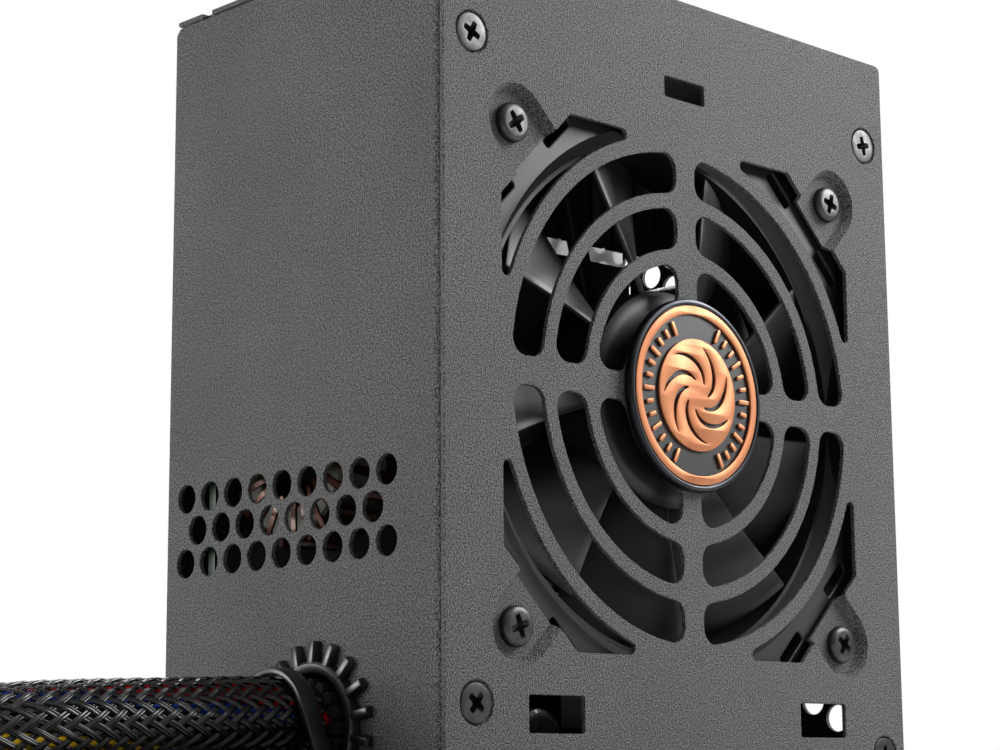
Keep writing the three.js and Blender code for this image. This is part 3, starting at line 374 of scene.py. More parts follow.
def lathe(profile: Loop, sides: int, closed: bool = False) -> bmesh.types.BMesh:
    """A turned piece about Z from (radius, height) pairs.

    Args:
        profile: the half section. An open one starts and ends on the axis.
        sides: how many steps one turn has.
        closed: whether the section closes on itself, as a ring's does.

    Returns:
        The turned piece.
    """
    piece = bmesh.new()
    verts = [piece.verts.new((radius, 0, height)) for radius, height in profile]
    edges = [piece.edges.new(pair) for pair in zip(verts, verts[1:])]
    if closed:
        edges.append(piece.edges.new((verts[-1], verts[0])))
    bmesh.ops.spin(piece, geom=verts + edges, cent=(0, 0, 0), axis=(0, 0, 1), dvec=(0, 0, 0),
                   angle=math.tau, steps=sides, use_merge=True, use_duplicate=False)
    bmesh.ops.remove_doubles(piece, verts=piece.verts, dist=0.0005)
    bmesh.ops.recalc_face_normals(piece, faces=piece.faces)
    return piece


def brick(low: Sequence[float], high: Sequence[float], rounding: float = 0.2,
          segments: int = 2) -> bmesh.types.BMesh:
    """A block with rounded edges, by its lowest and highest corners."""
    piece = bmesh.new()
    bmesh.ops.create_cube(piece, size=1.0)
    size = [b - a for a, b in zip(low, high)]
    bmesh.ops.scale(piece, vec=size, verts=piece.verts)
    bmesh.ops.translate(piece, vec=[(a + b) / 2 for a, b in zip(low, high)], verts=piece.verts)
    if rounding:
        bmesh.ops.bevel(piece, geom=list(piece.edges), offset=rounding, offset_type="OFFSET",
                        segments=segments, profile=0.5, affect="EDGES", material=-1, clamp_overlap=True)
    return piece


def prism(outline: Loop, depth: float, rounding: float = 0.2, segments: int = 2) -> bmesh.types.BMesh:
    """A solid of constant section with its edges rounded, from 0 up to its depth."""
    piece = bmesh.new()
    face = piece.faces.new([piece.verts.new((u, v, 0)) for u, v in outline])
    grown = bmesh.ops.extrude_face_region(piece, geom=[face])["geom"]
    bmesh.ops.translate(piece, vec=(0, 0, depth),
                        verts=[g for g in grown if isinstance(g, bmesh.types.BMVert)])
    bmesh.ops.recalc_face_normals(piece, faces=piece.faces)
    if rounding:
        sharp = [e for e in piece.edges if e.calc_face_angle(0) > math.radians(30)]
        bmesh.ops.bevel(piece, geom=sharp, offset=rounding, offset_type="OFFSET", segments=segments,
                        profile=0.5, affect="EDGES", material=-1, clamp_overlap=True)
    return piece


def merged(pieces: Sequence[bmesh.types.BMesh]) -> bmesh.types.BMesh:
    """All the pieces in one mesh. The pieces themselves are freed."""
    whole = bmesh.new()
    for piece in pieces:
        carrier = bpy.data.meshes.new("carrier")
        piece.to_mesh(carrier)
        piece.free()
        whole.from_mesh(carrier)
        bpy.data.meshes.remove(carrier)
    return whole


def dressed(piece: bmesh.types.BMesh, slot: int) -> bmesh.types.BMesh:
    """The piece with every face on one material slot."""
    for face in piece.faces:
        face.material_index = slot
    return piece


def finished(name: str, piece: bmesh.types.BMesh, finishes: Sequence[Finish], body: str,
             replaces: Sequence[str] = (),
             smooth: float = 34.0) -> bpy.types.Object:
    """An object of the scene from a finished mesh, riding on its body.

    Args:
        name: the piece's name.
        piece: its mesh in millimetres.
        finishes: its finishes, in the order of its material slots.
        body: the CAD body it rides on.
        replaces: the CAD nodes it stands for.
        smooth: the widest angle in degrees that is shaded as one surface.

    Returns:
        The object.
    """
    bmesh.ops.scale(piece, vec=(MM, MM, MM), verts=piece.verts)
    mesh = bpy.data.meshes.new(name)
    piece.to_mesh(mesh)
    triangles = sum(len(face.verts) - 2 for face in piece.faces)
    piece.free()
    for finish in finishes:
        mesh.materials.append(finish.material())
    mesh.polygons.foreach_set("use_smooth", [True] * len(mesh.polygons))
    mesh.set_sharp_from_angle(angle=math.radians(smooth))
    thing = bpy.data.objects.new(name, mesh)
    bpy.context.scene.collection.objects.link(thing)
    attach(thing, body)
    if replaces:
        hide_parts(*replaces)
    LOG.info("%s: %d triangles on %s", name, triangles, body)
    return thing


@dataclass
class Studio:
    """The plain floor, the soft lights, the white surround and the camera."""

    focal: float = 83.17
    shift: Pair = (0.01147, -0.00684)
    eye: tuple[float, float, float] = (-257.567, -258.403, 6.013)
    ahead: tuple[float, float, float] = (0.67892, 0.71290, 0.17561)
    right: tuple[float, float, float] = (0.72489, -0.68884, -0.00603)

    def build(self) -> None:
        """Makes the stage."""
        self.camera()
        self.floor()
        self.surround()
        self.lights()

    def camera(self) -> None:
        """The camera, low in front of the corner between the cable wall and the fan face."""
        data = bpy.data.cameras.new("camera")
        data.sensor_width = 36.0
        data.lens = self.focal
        data.shift_x, data.shift_y = self.shift
        data.clip_start = 0.01
        thing = bpy.data.objects.new("camera", data)
        bpy.context.scene.collection.objects.link(thing)
        ahead, right = Vector(self.ahead).normalized(), Vector(self.right).normalized()
        turn = Matrix((right, right.cross(ahead), -ahead)).transposed().to_4x4()
        thing.matrix_world = Matrix.Translation(Vector(self.eye) * MM) @ turn
        bpy.context.scene.camera = thing

    def floor(self) -> None:
        """A pale matt floor, wide enough for every view."""
        sheet = bmesh.new()
        bmesh.ops.create_grid(sheet, x_segments=1, y_segments=1, size=3.0)
        bmesh.ops.translate(sheet, vec=(0, 0, -0.0002), verts=sheet.verts)
        mesh = bpy.data.meshes.new("floor")
        sheet.to_mesh(mesh)
        sheet.free()
        mesh.materials.append(Finish("studio_floor_paper", "dcdcdc", "e2e2e2", (0.8, 0.9), 40.0, 0.0,
                                     200.0).material())
        thing = bpy.data.objects.new("floor", mesh)
        bpy.context.scene.collection.objects.link(thing)

    def surround(self) -> None:
        """A white surround that lights the stage mostly from above, as a ceiling does."""
        world = bpy.data.worlds.new("surround")
        bpy.context.scene.world = world
        world.use_nodes = True
        tree = world.node_tree
        tree.nodes.clear()
        toward = add_node(tree, "ShaderNodeTexCoord", {}).outputs["Generated"]
        height = add_node(tree, "ShaderNodeSeparateXYZ", {"Vector": toward}).outputs["Z"]
        strength = add_node(tree, "ShaderNodeMapRange", {
            "Value": height, "From Min": 0.35, "From Max": 0.95, "To Min": 0.14, "To Max": 0.95}).outputs[0]
        glow = add_node(tree, "ShaderNodeBackground", {"Color": linear("ffffff"), "Strength": strength})
        seen = add_node(tree, "ShaderNodeBackground", {"Color": linear("ffffff"), "Strength": 1.0})
        path = add_node(tree, "ShaderNodeLightPath", {})
        both = add_node(tree, "ShaderNodeMixShader", {
            0: path.outputs["Is Camera Ray"], 1: glow.outputs[0], 2: seen.outputs[0]})
        add_node(tree, "ShaderNodeOutputWorld", {"Surface": both.outputs[0]})
        bpy.context.scene.view_settings.view_transform = "Standard"

    def lights(self) -> None:
        """Large soft panels: one off each lit corner, and one behind the mains wall."""
        panels = [
            ("key_panel", (0.32, -0.26, 0.3), (0.03, -0.03, 0.08), 0.28, 2.85),
            ("cable_side_panel", (-0.5, 0.26, 0.06), (-0.05, 0.0, 0.03), 0.36, 4.4),
            ("far_side_panel", (0.8, 0.9, 0.7), (0.0, 0.0, 0.06), 0.9, 7.0),
        ]
        for name, at, aim, size, power in panels:
            data = bpy.data.lights.new(name, "AREA")
            data.shape = "DISK"
            data.size = size
            data.energy = power
            thing = bpy.data.objects.new(name, data)
            bpy.context.scene.collection.objects.link(thing)
            thing.location = at
            thing.rotation_euler = (Vector(aim) - Vector(at)).to_track_quat("-Z", "Y").to_euler()


class Route:
    """A smooth line through chosen points, walked by its length in millimetres."""

    def __init__(self, points: Sequence[Sequence[float]], step: float = 1.0) -> None:
        """Samples the line.

        Args:
            points: the points it passes through.
            step: roughly how far apart its samples are.
        """
        knots = [Vector(p) for p in points]
        knots = [knots[0] * 2 - knots[1], *knots, knots[-1] * 2 - knots[-2]]
        line = []
        for a, b, c, d in zip(knots, knots[1:], knots[2:], knots[3:]):
            count = max(2, round((c - b).length / step))
            for i in range(count):
                t = i / count
                line.append(0.5 * (2 * b + (c - a) * t + (2 * a - 5 * b + 4 * c - d) * t * t
                                   + (3 * b - a - 3 * c + d) * t ** 3))
        line.append(knots[-2])
        self.line = line
        self.reach = [0.0]
        for a, b in zip(line, line[1:]):
            self.reach.append(self.reach[-1] + (b - a).length)
        self.length = self.reach[-1]

    def frame_at(self, along: float) -> tuple[Vector, Vector, Vector]:
        """The place, sideways direction and upward direction at a length along the line."""
        along = min(max(along, 0.0), self.length)
        low, high = 0, len(self.reach) - 1
        while high - low > 1:
            middle = (low + high) // 2
            low, high = (middle, high) if self.reach[middle] <= along else (low, middle)
        share = (along - self.reach[low]) / (self.reach[high] - self.reach[low])
        place = self.line[low].lerp(self.line[high], share)
        before, after = self.line[max(low - 1, 0)], self.line[min(high + 1, len(self.line) - 1)]
        ahead = (after - before).normalized()
        side = ahead.cross(Vector((0, 0, 1)))
        side = side.normalized() if side.length > 0.01 else Vector((0, 1, 0))
        return place, side, side.cross(ahead).normalized()

    def around(self, along: float, turn: float, radius: float) -> Vector:
        """A point off the line, by its angle in radians from the side towards the top."""
        place, side, up = self.frame_at(along)
        return place + side * (radius * math.cos(turn)) + up * (radius * math.sin(turn))


def tube(centres: Sequence[Vector], radius: float, sides: int, slot: int = 0) -> bmesh.types.BMesh:
    """A round closed tube along a run of points.

    Args:
        centres: the points of its middle line.
        radius: its radius.
        sides: how many sides it has.
        slot: its material slot.

    Returns:
        The tube.
    """
    piece = bmesh.new()
    rings = []
    up = Vector((0, 0, 1))
    for i, centre in enumerate(centres):
        ahead = (centres[min(i + 1, len(centres) - 1)] - centres[max(i - 1, 0)]).normalized()
        side = ahead.cross(up)
        side = side.normalized() if side.length > 0.05 else ahead.cross(Vector((0, 1, 0))).normalized()
        up = side.cross(ahead).normalized()
        turns = [math.tau * k / sides for k in range(sides)]
        rings.append([piece.verts.new(centre + (side * math.cos(t) + up * math.sin(t)) * radius)
                      for t in turns])
    for near, far in zip(rings, rings[1:]):
        for k in range(sides):
            piece.faces.new((near[k], near[k - 1], far[k - 1], far[k])).material_index = slot
    piece.faces.new(rings[0]).material_index = slot
    piece.faces.new(reversed(rings[-1])).material_index = slot
    bmesh.ops.recalc_face_normals(piece, faces=piece.faces)
    return piece


@dataclass
class Sleeve:
    """An open braid of flat strands over a bundle of coloured wires.

    Strands cross over two and under two, half of them winding each way.
    """

    route: Route
    radius: float
    strands: int
    crossing: float
    strand_width: float
    wire_radius: float
    colours: Sequence[str]
    taper: float = 0.0
    taper_radius: float = 0.0

    def radius_at(self, along: float) -> float:
        """The sleeve's radius, drawn in where it is gathered at its ends."""
        if not self.taper:
            return self.radius
        near = min(along, self.route.length - along)
        share = min(max(near / self.taper, 0.0), 1.0)
        share = share * share * (3 - 2 * share)
        return self.taper_radius + (self.radius - self.taper_radius) * share

    def strand(self, piece: bmesh.types.BMesh, uv: bmesh.types.BMLayerItem, index: int, way: int) -> None:
        """One strand, from end to end.

        Args:
            piece: the mesh it goes in.
            uv: the map whose U runs across the strand.
            index: which strand of its direction it is.
            way: 1 or -1, the direction it winds.
        """
        lead = 2 * self.strands * self.crossing
        count = int(self.route.length / self.crossing)
        step = self.route.length / count
        rings = []
        for k in range(count + 1):
            along = k * step
            turn = math.tau * (index / self.strands + way * along / lead)
            beat = math.cos(math.tau * (2 * index + way * along / self.crossing - 0.5) / 4) * way
            radius = self.radius_at(along) - 0.32 + 0.24 * beat
            half = self.strand_width / 2 / radius
            ring = []
            for over, across in ((0.0, -1), (0.16, 0), (0.0, 1), (-0.14, 0)):
                shifted = along - way * across * half * radius * 0.5
                ring.append(piece.verts.new(self.route.around(shifted, turn + across * half * 0.84,
                                                              radius + over)))
            rings.append(ring)
        for near, far in zip(rings, rings[1:]):
            for k in range(4):
                face = piece.faces.new((near[k], near[(k + 1) % 4], far[(k + 1) % 4], far[k]))
                face.smooth = True
                for loop, share in zip(face.loops, self.shares(k)):
                    loop[uv].uv = (share, 0.0)
        piece.faces.new(reversed(rings[0]))
        piece.faces.new(rings[-1])

    def shares(self, k: int) -> tuple[float, float, float, float]:
        """How far across the strand the corners of one side's face are."""
        spots = (0.0, 0.5, 1.0, 0.5)
        near, far = spots[k], spots[(k + 1) % 4]
        return near, far, far, near

    def braid(self) -> bmesh.types.BMesh:
        """The whole braid."""
        piece = bmesh.new()
        uv = piece.loops.layers.uv.new("across")
        for index in range(self.strands):
            self.strand(piece, uv, index, 1)
            self.strand(piece, uv, index, -1)
        bmesh.ops.recalc_face_normals(piece, faces=piece.faces)
        return piece

    def wires(self, names: Sequence[str]) -> list[bmesh.types.BMesh]:
        """The wires under the braid, laid round with a slow twist.

        Args:
            names: the wire colours in the order of the material slots.

        Returns:
            One tube a wire.
        """
        count = len(self.colours)
        steps = int(self.route.length / 3.0)
        pieces = []
        for index, colour in enumerate(self.colours):
            centres = []
            for k in range(steps + 1):
                along = self.route.length * k / steps
                turn = math.tau * (index / count - along / 260.0)
                centres.append(self.route.around(along, turn,
                                                 self.radius_at(along) - 0.75 - self.wire_radius))
            pieces.append(tube(centres, self.wire_radius, 7, 1 + names.index(colour)))
        return pieces

    def build(self, name: str, replaces: str) -> bpy.types.Object:
        """The cable as one object."""
        names = sorted(set(self.colours))
        whole = merged([dressed(self.braid(), 0), *self.wires(names)])
        return finished(name, whole, [BRAID, *[WIRES[n] for n in names]], "case", [replaces])


@dataclass
class Plug:
    """A connector housing with two rows of square noses.

    It faces along +X, its lowest corner at (back, low, lift).
    """

    back: float
    low: float
    columns: int
    pitch: float = 4.2
    margin: float = 0.6
    lift: float = 0.2
    height: float = 9.6
    length: float = 15.0

    @property
    def width(self) -> float:
        """The housing's width."""
        return self.columns * self.pitch + 2 * self.margin

    def seat(self, column: int, row: int) -> Pair:
        """The y and z of one wire's seat."""
        y = self.low + self.margin + (column + 0.5) * self.pitch
        return y, self.lift + self.height / 2 + (row - 0.5) * self.pitch

    def nose(self, column: int, row: int) -> bmesh.types.BMesh:
        """One nose: a square tube, every other one with two corners cut."""
        half = self.pitch / 2 - 0.12
        if (column + row) % 2:
            outline = rounded(0, 0, half, half, 0.25, 2)
        else:
            outline = [(-half, -half), (half, -half), (half, half - 1.1), (half - 1.1, half),
                       (1.1 - half, half), (-half, half - 1.1)]
        tube_wall = flat_plate(outline, [rounded(0, 0, 1.15, 1.15, 0.3, 2)], 8.2, 0.1)
        y, z = self.seat(column, row)
        return placed(tube_wall, SIDE, (self.back + 6.8, y, z))

    def housing(self) -> bmesh.types.BMesh:
        """The housing: a body with a wire hole at each seat, a floor plate behind it and the noses."""
        y, z = self.low + self.width / 2, self.lift + self.height / 2
        seats = [(column, row) for column in range(self.columns) for row in (0, 1)]
        holes = [circle(*self.seat(c, r), 1.45, 10) for c, r in seats]
        outline = rounded(y, z, self.width / 2, self.height / 2, 0.5)
        body = placed(flat_plate(outline, holes, 5.4, 0.2), SIDE, (self.back, 0, 0))
        inner = rounded(y, z, self.width / 2 - 0.2, self.height / 2 - 0.2, 0.4)
        floor = placed(flat_plate(inner, [], 1.6, 0.1), SIDE, (self.back + 5.3, 0, 0))
        return merged([body, floor, *[self.nose(c, r) for c, r in seats]])

    def build(self, name: str, node: str) -> bpy.types.Object:
        """The housing as an object that stands for its node."""
        return finished(name, self.housing(), [PLUG_PLASTIC], "case", [node])


@dataclass
class Latch:
    """The springy lever on a plug's top, with its hook in front and its thumb grip behind."""

    back: float
    middle: float
    width: float
    base: float = 10.1

    def build(self, name: str, node: str, body: str) -> bpy.types.Object:
        """The lever with rounded edges and three grip ribs."""
        side = [(1, 1.9), (6.2, 1.5), (6.2, 0), (8.2, 0), (8.2, 1.5), (15.6, 1.5), (15.6, 0.7), (17.2, 1.6),
                (17.2, 2.7), (6, 2.7), (1, 3.1)]
        lever = prism(moved(side, self.back, self.base), self.width, 0.18)
        lever = placed(lever, FRONT, (0, self.middle - self.width / 2, 0))
        half = self.width / 2 - 0.6
        ribs = [brick((self.back + 1.5 + 1.1 * k, self.middle - half, self.base + 2.7),
                      (self.back + 2.1 + 1.1 * k, self.middle + half, self.base + 3.2), 0.12, 1)
                for k in range(3)]
        return finished(name, merged([lever, *ribs]), [PLUG_PLASTIC], body, [node])


@dataclass
class Flare:
    """The bare wires between a sleeve's end and the back of its plugs, with the shrink collar on them."""

    end: Sequence[float]
    collar_radius: float
    wire_radius: float
    seats: Sequence[Pair]
    colours: Sequence[str]
    back: float

    def run(self, index: int, seat: Pair) -> list[Vector]:
        """The middle line of one wire, from the bundle out to its seat."""
        x, y, z = self.end
        count = len(self.seats)
        spread = (self.collar_radius - self.wire_radius - 0.4) * math.sqrt((index + 0.5) / count)
        turn = math.atan2(seat[1] - z, seat[0] - y) if count > 10 else math.tau * index / count
        start = Vector((x - 1.0, y + spread * math.cos(turn), z + spread * math.sin(turn)))
        stop = Vector((self.back + 3.0, *seat))
        line = []
        for k in range(15):
            t = k / 14
            share = t * t * (3 - 2 * t)
            line.append(Vector((start.x + (stop.x - start.x) * t, start.y + (stop.y - start.y) * share,
                                start.z + (stop.z - start.z) * share)))
        return line

    def build(self, name: str, node: str) -> bpy.types.Object:
        """All the wires and the collar, in one object."""
        names = sorted(set(self.colours))
        runs = [tube(self.run(i, seat), self.wire_radius, 8, 1 + names.index(self.colours[i]))
                for i, seat in enumerate(self.seats)]
        x, y, z = self.end
        r = self.collar_radius
        ring = lathe([(r - 0.5, -3.6), (r - 0.1, -3.6), (r, -3.3), (r, 3.0), (r - 0.3, 3.4), (r - 0.9, 3.4),
                      (r - 0.9, 0), (r - 0.5, -3.4)], 28, True)
        collar = placed(dressed(ring, 0), SIDE, (x + 1.0, y, z))
        return finished(name, merged([collar, *runs]), [GROMMET_PLASTIC, *[WIRES[n] for n in names]],
                        "case", [node])


@dataclass
class Harness:
    """Both cables: the main one to its 20 and 4 way plugs, and the processor one to its two 4 way plugs."""

    main_radius: float = 6.5
    cpu_radius: float = 4.0

    main_points = [
        (-52.3, -3.9, 13.9), (-58.5, -3.9, 13.9), (-65, -4.3, 13.7), (-74, -5.0, 13.3), (-85, -5.2, 12.9),
        (-100, -5.2, 12.0), (-119.1, -1.4, 9.6), (-135.2, 9.4, 7.6), (-146.0, 25.5, 6.8),
        (-149.8, 44.6, 6.7), (-146.0, 63.7, 6.7), (-135.2, 79.8, 6.7), (-119.1, 90.6, 6.7),
        (-100, 94.4, 6.7), (-80, 93.4, 6.7), (-60, 88.2, 6.7), (-42, 80.4, 6.7), (-26, 73.2, 6.7),
        (-13, 69.2, 6.7), (-8, 69.0, 6.7), (-4, 69.0, 6.7),
    ]
    cpu_points = [
        (-52.3, -10.7, 5.5), (-58.5, -10.7, 5.5), (-65, -11.6, 5.7), (-74, -13.3, 6.0), (-85, -14.0, 6.0),
        (-100, -15.6, 5.0), (-123.3, -11.7, 4.2), (-143.1, 1.5, 4.2), (-156.3, 21.3, 4.2),
        (-160.9, 44.6, 4.2), (-156.3, 67.9, 4.2), (-143.1, 87.7, 4.2), (-123.3, 100.9, 4.2),
        (-100, 105.6, 4.2), (-80, 106.4, 4.2), (-60, 106.8, 4.2), (-40, 107.6, 4.2), (-20, 108.8, 4.2),
        (0, 110.0, 4.2), (16, 110.6, 4.2), (30, 110.8, 4.2),
    ]

    def main(self) -> None:
        """The main cable with its flare, plugs and latch."""
        route = Route(self.main_points)
        mix = ["red", "black", "grey", "red", "black", "red", "red", "blue", "black", "black", "yellow",
               "yellow", "black", "orange"]
        sleeve = Sleeve(route, self.main_radius, 22, 1.45, 0.88, 1.05, mix, 9.0, 6.2)
        cable = sleeve.build("main_cable_sleeved", "main_cable")
        end = self.main_points[-1]
        big = Plug(end[0] + 26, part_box("main_plug_20")[0].y / MM, 10)
        small = Plug(end[0] + 26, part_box("main_plug_4")[0].y / MM, 2)
        seats = [big.seat(c, r) for c in range(10) for r in (0, 1)] + [
            small.seat(c, r) for c in (0, 1) for r in (0, 1)]
        colours = ["orange", "orange", "orange", "blue", "black", "black", "red", "green", "black", "black",
                   "red", "black", "black", "black", "grey", "white", "purple", "red", "yellow", "red",
                   "yellow", "red", "orange", "black"]
        flare = Flare(end, self.main_radius + 0.1, 0.95, seats, colours, big.back)
        pieces = [
            flare.build("main_wires_flared", "main_wires"), big.build("main_plug_20_way", "main_plug_20"),
            small.build("main_plug_4_way", "main_plug_4"),
            Latch(big.back, big.low + big.width / 2, 8).build(
                "main_latch_lever", "main_latch", "main_lever"),
        ]
        self.path(route)

    def cpu(self) -> None:
        """The processor cable with its flare, plugs and latch."""
        route = Route(self.cpu_points)
        mix = ["yellow", "black", "yellow", "yellow", "black", "yellow", "black"]
        sleeve = Sleeve(route, self.cpu_radius, 16, 1.2, 0.72, 1.1, mix, 7.0, 3.8)
        cable = sleeve.build("cpu_cable_sleeved", "cpu_cable")
        end = self.cpu_points[-1]
        first = Plug(end[0] + 16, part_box("cpu_plug_a")[0].y / MM, 2)
        second = Plug(end[0] + 16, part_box("cpu_plug_b")[0].y / MM, 2)
        seats = [plug.seat(c, r) for plug in (first, second) for c in (0, 1) for r in (0, 1)]
        flare = Flare(end, self.cpu_radius + 0.1, 0.95, seats, ["black", "yellow"] * 4, first.back)
        pieces = [
            flare.build("cpu_wires_flared", "cpu_wires"), first.build("cpu_plug_first", "cpu_plug_a"),
            second.build("cpu_plug_second", "cpu_plug_b"),
            Latch(first.back, first.low + first.width / 2, 5.4).build(
                "cpu_latch_lever", "cpu_latch", "cpu_lever"),
        ]
        self.path(route)

    def metres(self, point: Sequence[float]) -> tuple[float, ...]:
        """A point in metres."""
        return tuple(c * MM for c in point)

    def path(self, route: Route) -> list[tuple[float, ...]]:
        """The cord's middle line in metres, a point every few millimetres."""
        count = int(route.length / 3)
        return [self.metres(route.frame_at(route.length * k / count)[0]) for k in range(count + 1)]

    def build(self) -> None:
        """Makes both cables."""
        self.main()
        self.cpu()


def carved(piece: bmesh.types.BMesh, tool: bmesh.types.BMesh) -> bmesh.types.BMesh:
    """The piece with the tool's volume cut out of it. Both are freed."""
    things = []
    for name, source in (("whole", piece), ("tool", tool)):
        mesh = bpy.data.meshes.new(name)
        source.to_mesh(mesh)
        source.free()
        things.append(bpy.data.objects.new(name, mesh))
        bpy.context.scene.collection.objects.link(things[-1])
    cutter = things[0].modifiers.new("cut", "BOOLEAN")
    cutter.operation = "DIFFERENCE"
    cutter.solver = "EXACT"
    cutter.object = things[1]
    left = bmesh.new()
    left.from_object(things[0], bpy.context.evaluated_depsgraph_get())
    for thing in things:
        mesh = thing.data
        bpy.data.objects.remove(thing)
        bpy.data.meshes.remove(mesh)
    return left


@dataclass
class Fold:
    """A line in a plane that a flat blank is folded along, as flats and bends in turn.

    A flat is (length, 0); a bend is (degrees, outer radius). Bends turn towards the inner side.
    """

    start: Pair
    heading: float
    side: int
    steps: Sequence[Pair]
    bend_segments: int = 6

    def arc_length(self, step: Pair) -> float:
        """The length of blank that one step takes up."""
        amount, radius = step
        return (radius - SHEET / 2) * math.radians(amount) if radius else amount

    def creases(self) -> list[float]:
        """Where along the blank the bends need lines across."""
        lines, reach = [], 0.0
        for step in self.steps:
            length = self.arc_length(step)
            if step[1]:
                lines += [reach + length * k / self.bend_segments for k in range(self.bend_segments + 1)]
            reach += length
        return lines

    def place(self, along: float, inward: float) -> Pair:
        """Where a point of the blank goes.

        Args:
            along: its distance along the blank.
            inward: its distance in from the outer skin.

        Returns:
            Its place in the plane.
        """
        spot = Vector(self.start)
        turn = math.radians(self.heading)
        last = len(self.steps) - 1
        for index, step in enumerate(self.steps):
            ahead = Vector((math.cos(turn), math.sin(turn)))
            inner = Vector((-ahead.y, ahead.x)) * self.side
            length = self.arc_length(step)
            if not step[1]:
                if along <= length or index == last:
                    return tuple(spot + ahead * along + inner * inward)
                spot = spot + ahead * length
            else:
                centre = spot + inner * step[1]
                share = min(along / length, 1.0)
                swing = math.radians(step[0]) * share * self.side
                out = Matrix.Rotation(swing, 2) @ -inner
                if along <= length:
                    return tuple(centre + out * (step[1] - inward))
                spot = centre + out * step[1]
                turn += swing
            along -= length
        return tuple(spot)

    def shape(self, blank: bmesh.types.BMesh) -> bmesh.types.BMesh:
        """The blank folded: its u stays, and its v and depth go into the plane."""
        for line in self.creases():
            everything = list(blank.verts) + list(blank.edges) + list(blank.faces)
            bmesh.ops.bisect_plane(blank, geom=everything, dist=0.0001, plane_co=(0, line, 0),
                                   plane_no=(0, 1, 0))
        for vert in blank.verts:
            first, second = self.place(vert.co.y, vert.co.z)
            vert.co = (vert.co.x, first, second)
        bmesh.ops.recalc_face_normals(blank, faces=blank.faces)
        return blank


@dataclass
class Grille:
    """The openings of the fan face, as loops about the fan's centre."""

    spoke: float = 2.1
    slot_round: float = 2.4
    rings: Sequence[Pair] = ((13.8, 20.1), (22.4, 28.7), (31.0, 37.2))
    inner: float = 39.6
    reach: float = 38.95
    tip: float = 0.9
    set_in: float = 5.5
    boss: float = 5.5

    def slot(self, inner: float, outer: float) -> list[Pair]:
        """The arc slot of the first quadrant between two radii."""
        r = self.slot_round
        near = self.spoke + r
        out, inn = outer - r, inner + r
        start_out, start_in = (math.degrees(math.asin(near / q)) for q in (out, inn))
        first = math.sqrt(out * out - near * near)
        second = math.sqrt(inn * inn - near * near)
        points = arc(0, 0, outer, start_out, 90 - start_out, 16)
        points += arc(near, first, r, 90 + start_out, 180, 5)
        points += arc(near, second, r, 180, 270 - start_in, 5)
        points += arc(0, 0, inner, 90 - start_in, start_in, 12)[1:-1]
        points += arc(second, near, r, 180 + start_in, 270, 5)
        points += arc(first, near, r, 270, 360 - 0.01 + start_out, 6)[:-1]
        return points

    def corner(self) -> list[Pair]:
        """The corner opening of the first quadrant, joined with the screw boss beyond it."""
        mid = self.reach - self.tip
        end = math.sqrt((self.inner + self.tip) ** 2 - mid * mid)
        low = math.degrees(math.atan2(end, mid))
        half = FAN_SQUARE / 2
        diagonal = FAN_SQUARE - self.set_in * math.sqrt(2)
        foot = half - self.set_in / math.sqrt(2)
        step = self.boss / math.sqrt(2)
        points = arc(0, 0, self.inner, 90 - low, low, 14)
        points += arc(mid, end, self.tip, 180 + low, 360, 6)[1:]
        points += arc(self.reach - 0.6, diagonal - self.reach - 0.2, 0.6, 0, 45, 2)
        points += [(foot + step + 0.5, foot - step - 0.5), (foot + step + 0.15, foot - step + 0.1)]
        points += arc(half, half, self.boss, -45, 135, 18)
        points += [(foot - step + 0.1, foot + step + 0.15), (foot - step - 0.5, foot + step + 0.5)]
        points += arc(diagonal - self.reach - 0.2, self.reach - 0.6, 0.6, 45, 90, 2)
        points += arc(end, mid, self.tip, 90, 270 - low, 6)[:-1]
        return points

    def loops(self) -> list[list[Pair]]:
        """Every opening of the grille."""
        found = []
        for quadrant in range(4):
            found += [turned(self.slot(*ring), 90 * quadrant) for ring in self.rings]
            found.append(turned(self.corner(), 90 * quadrant))
        return found


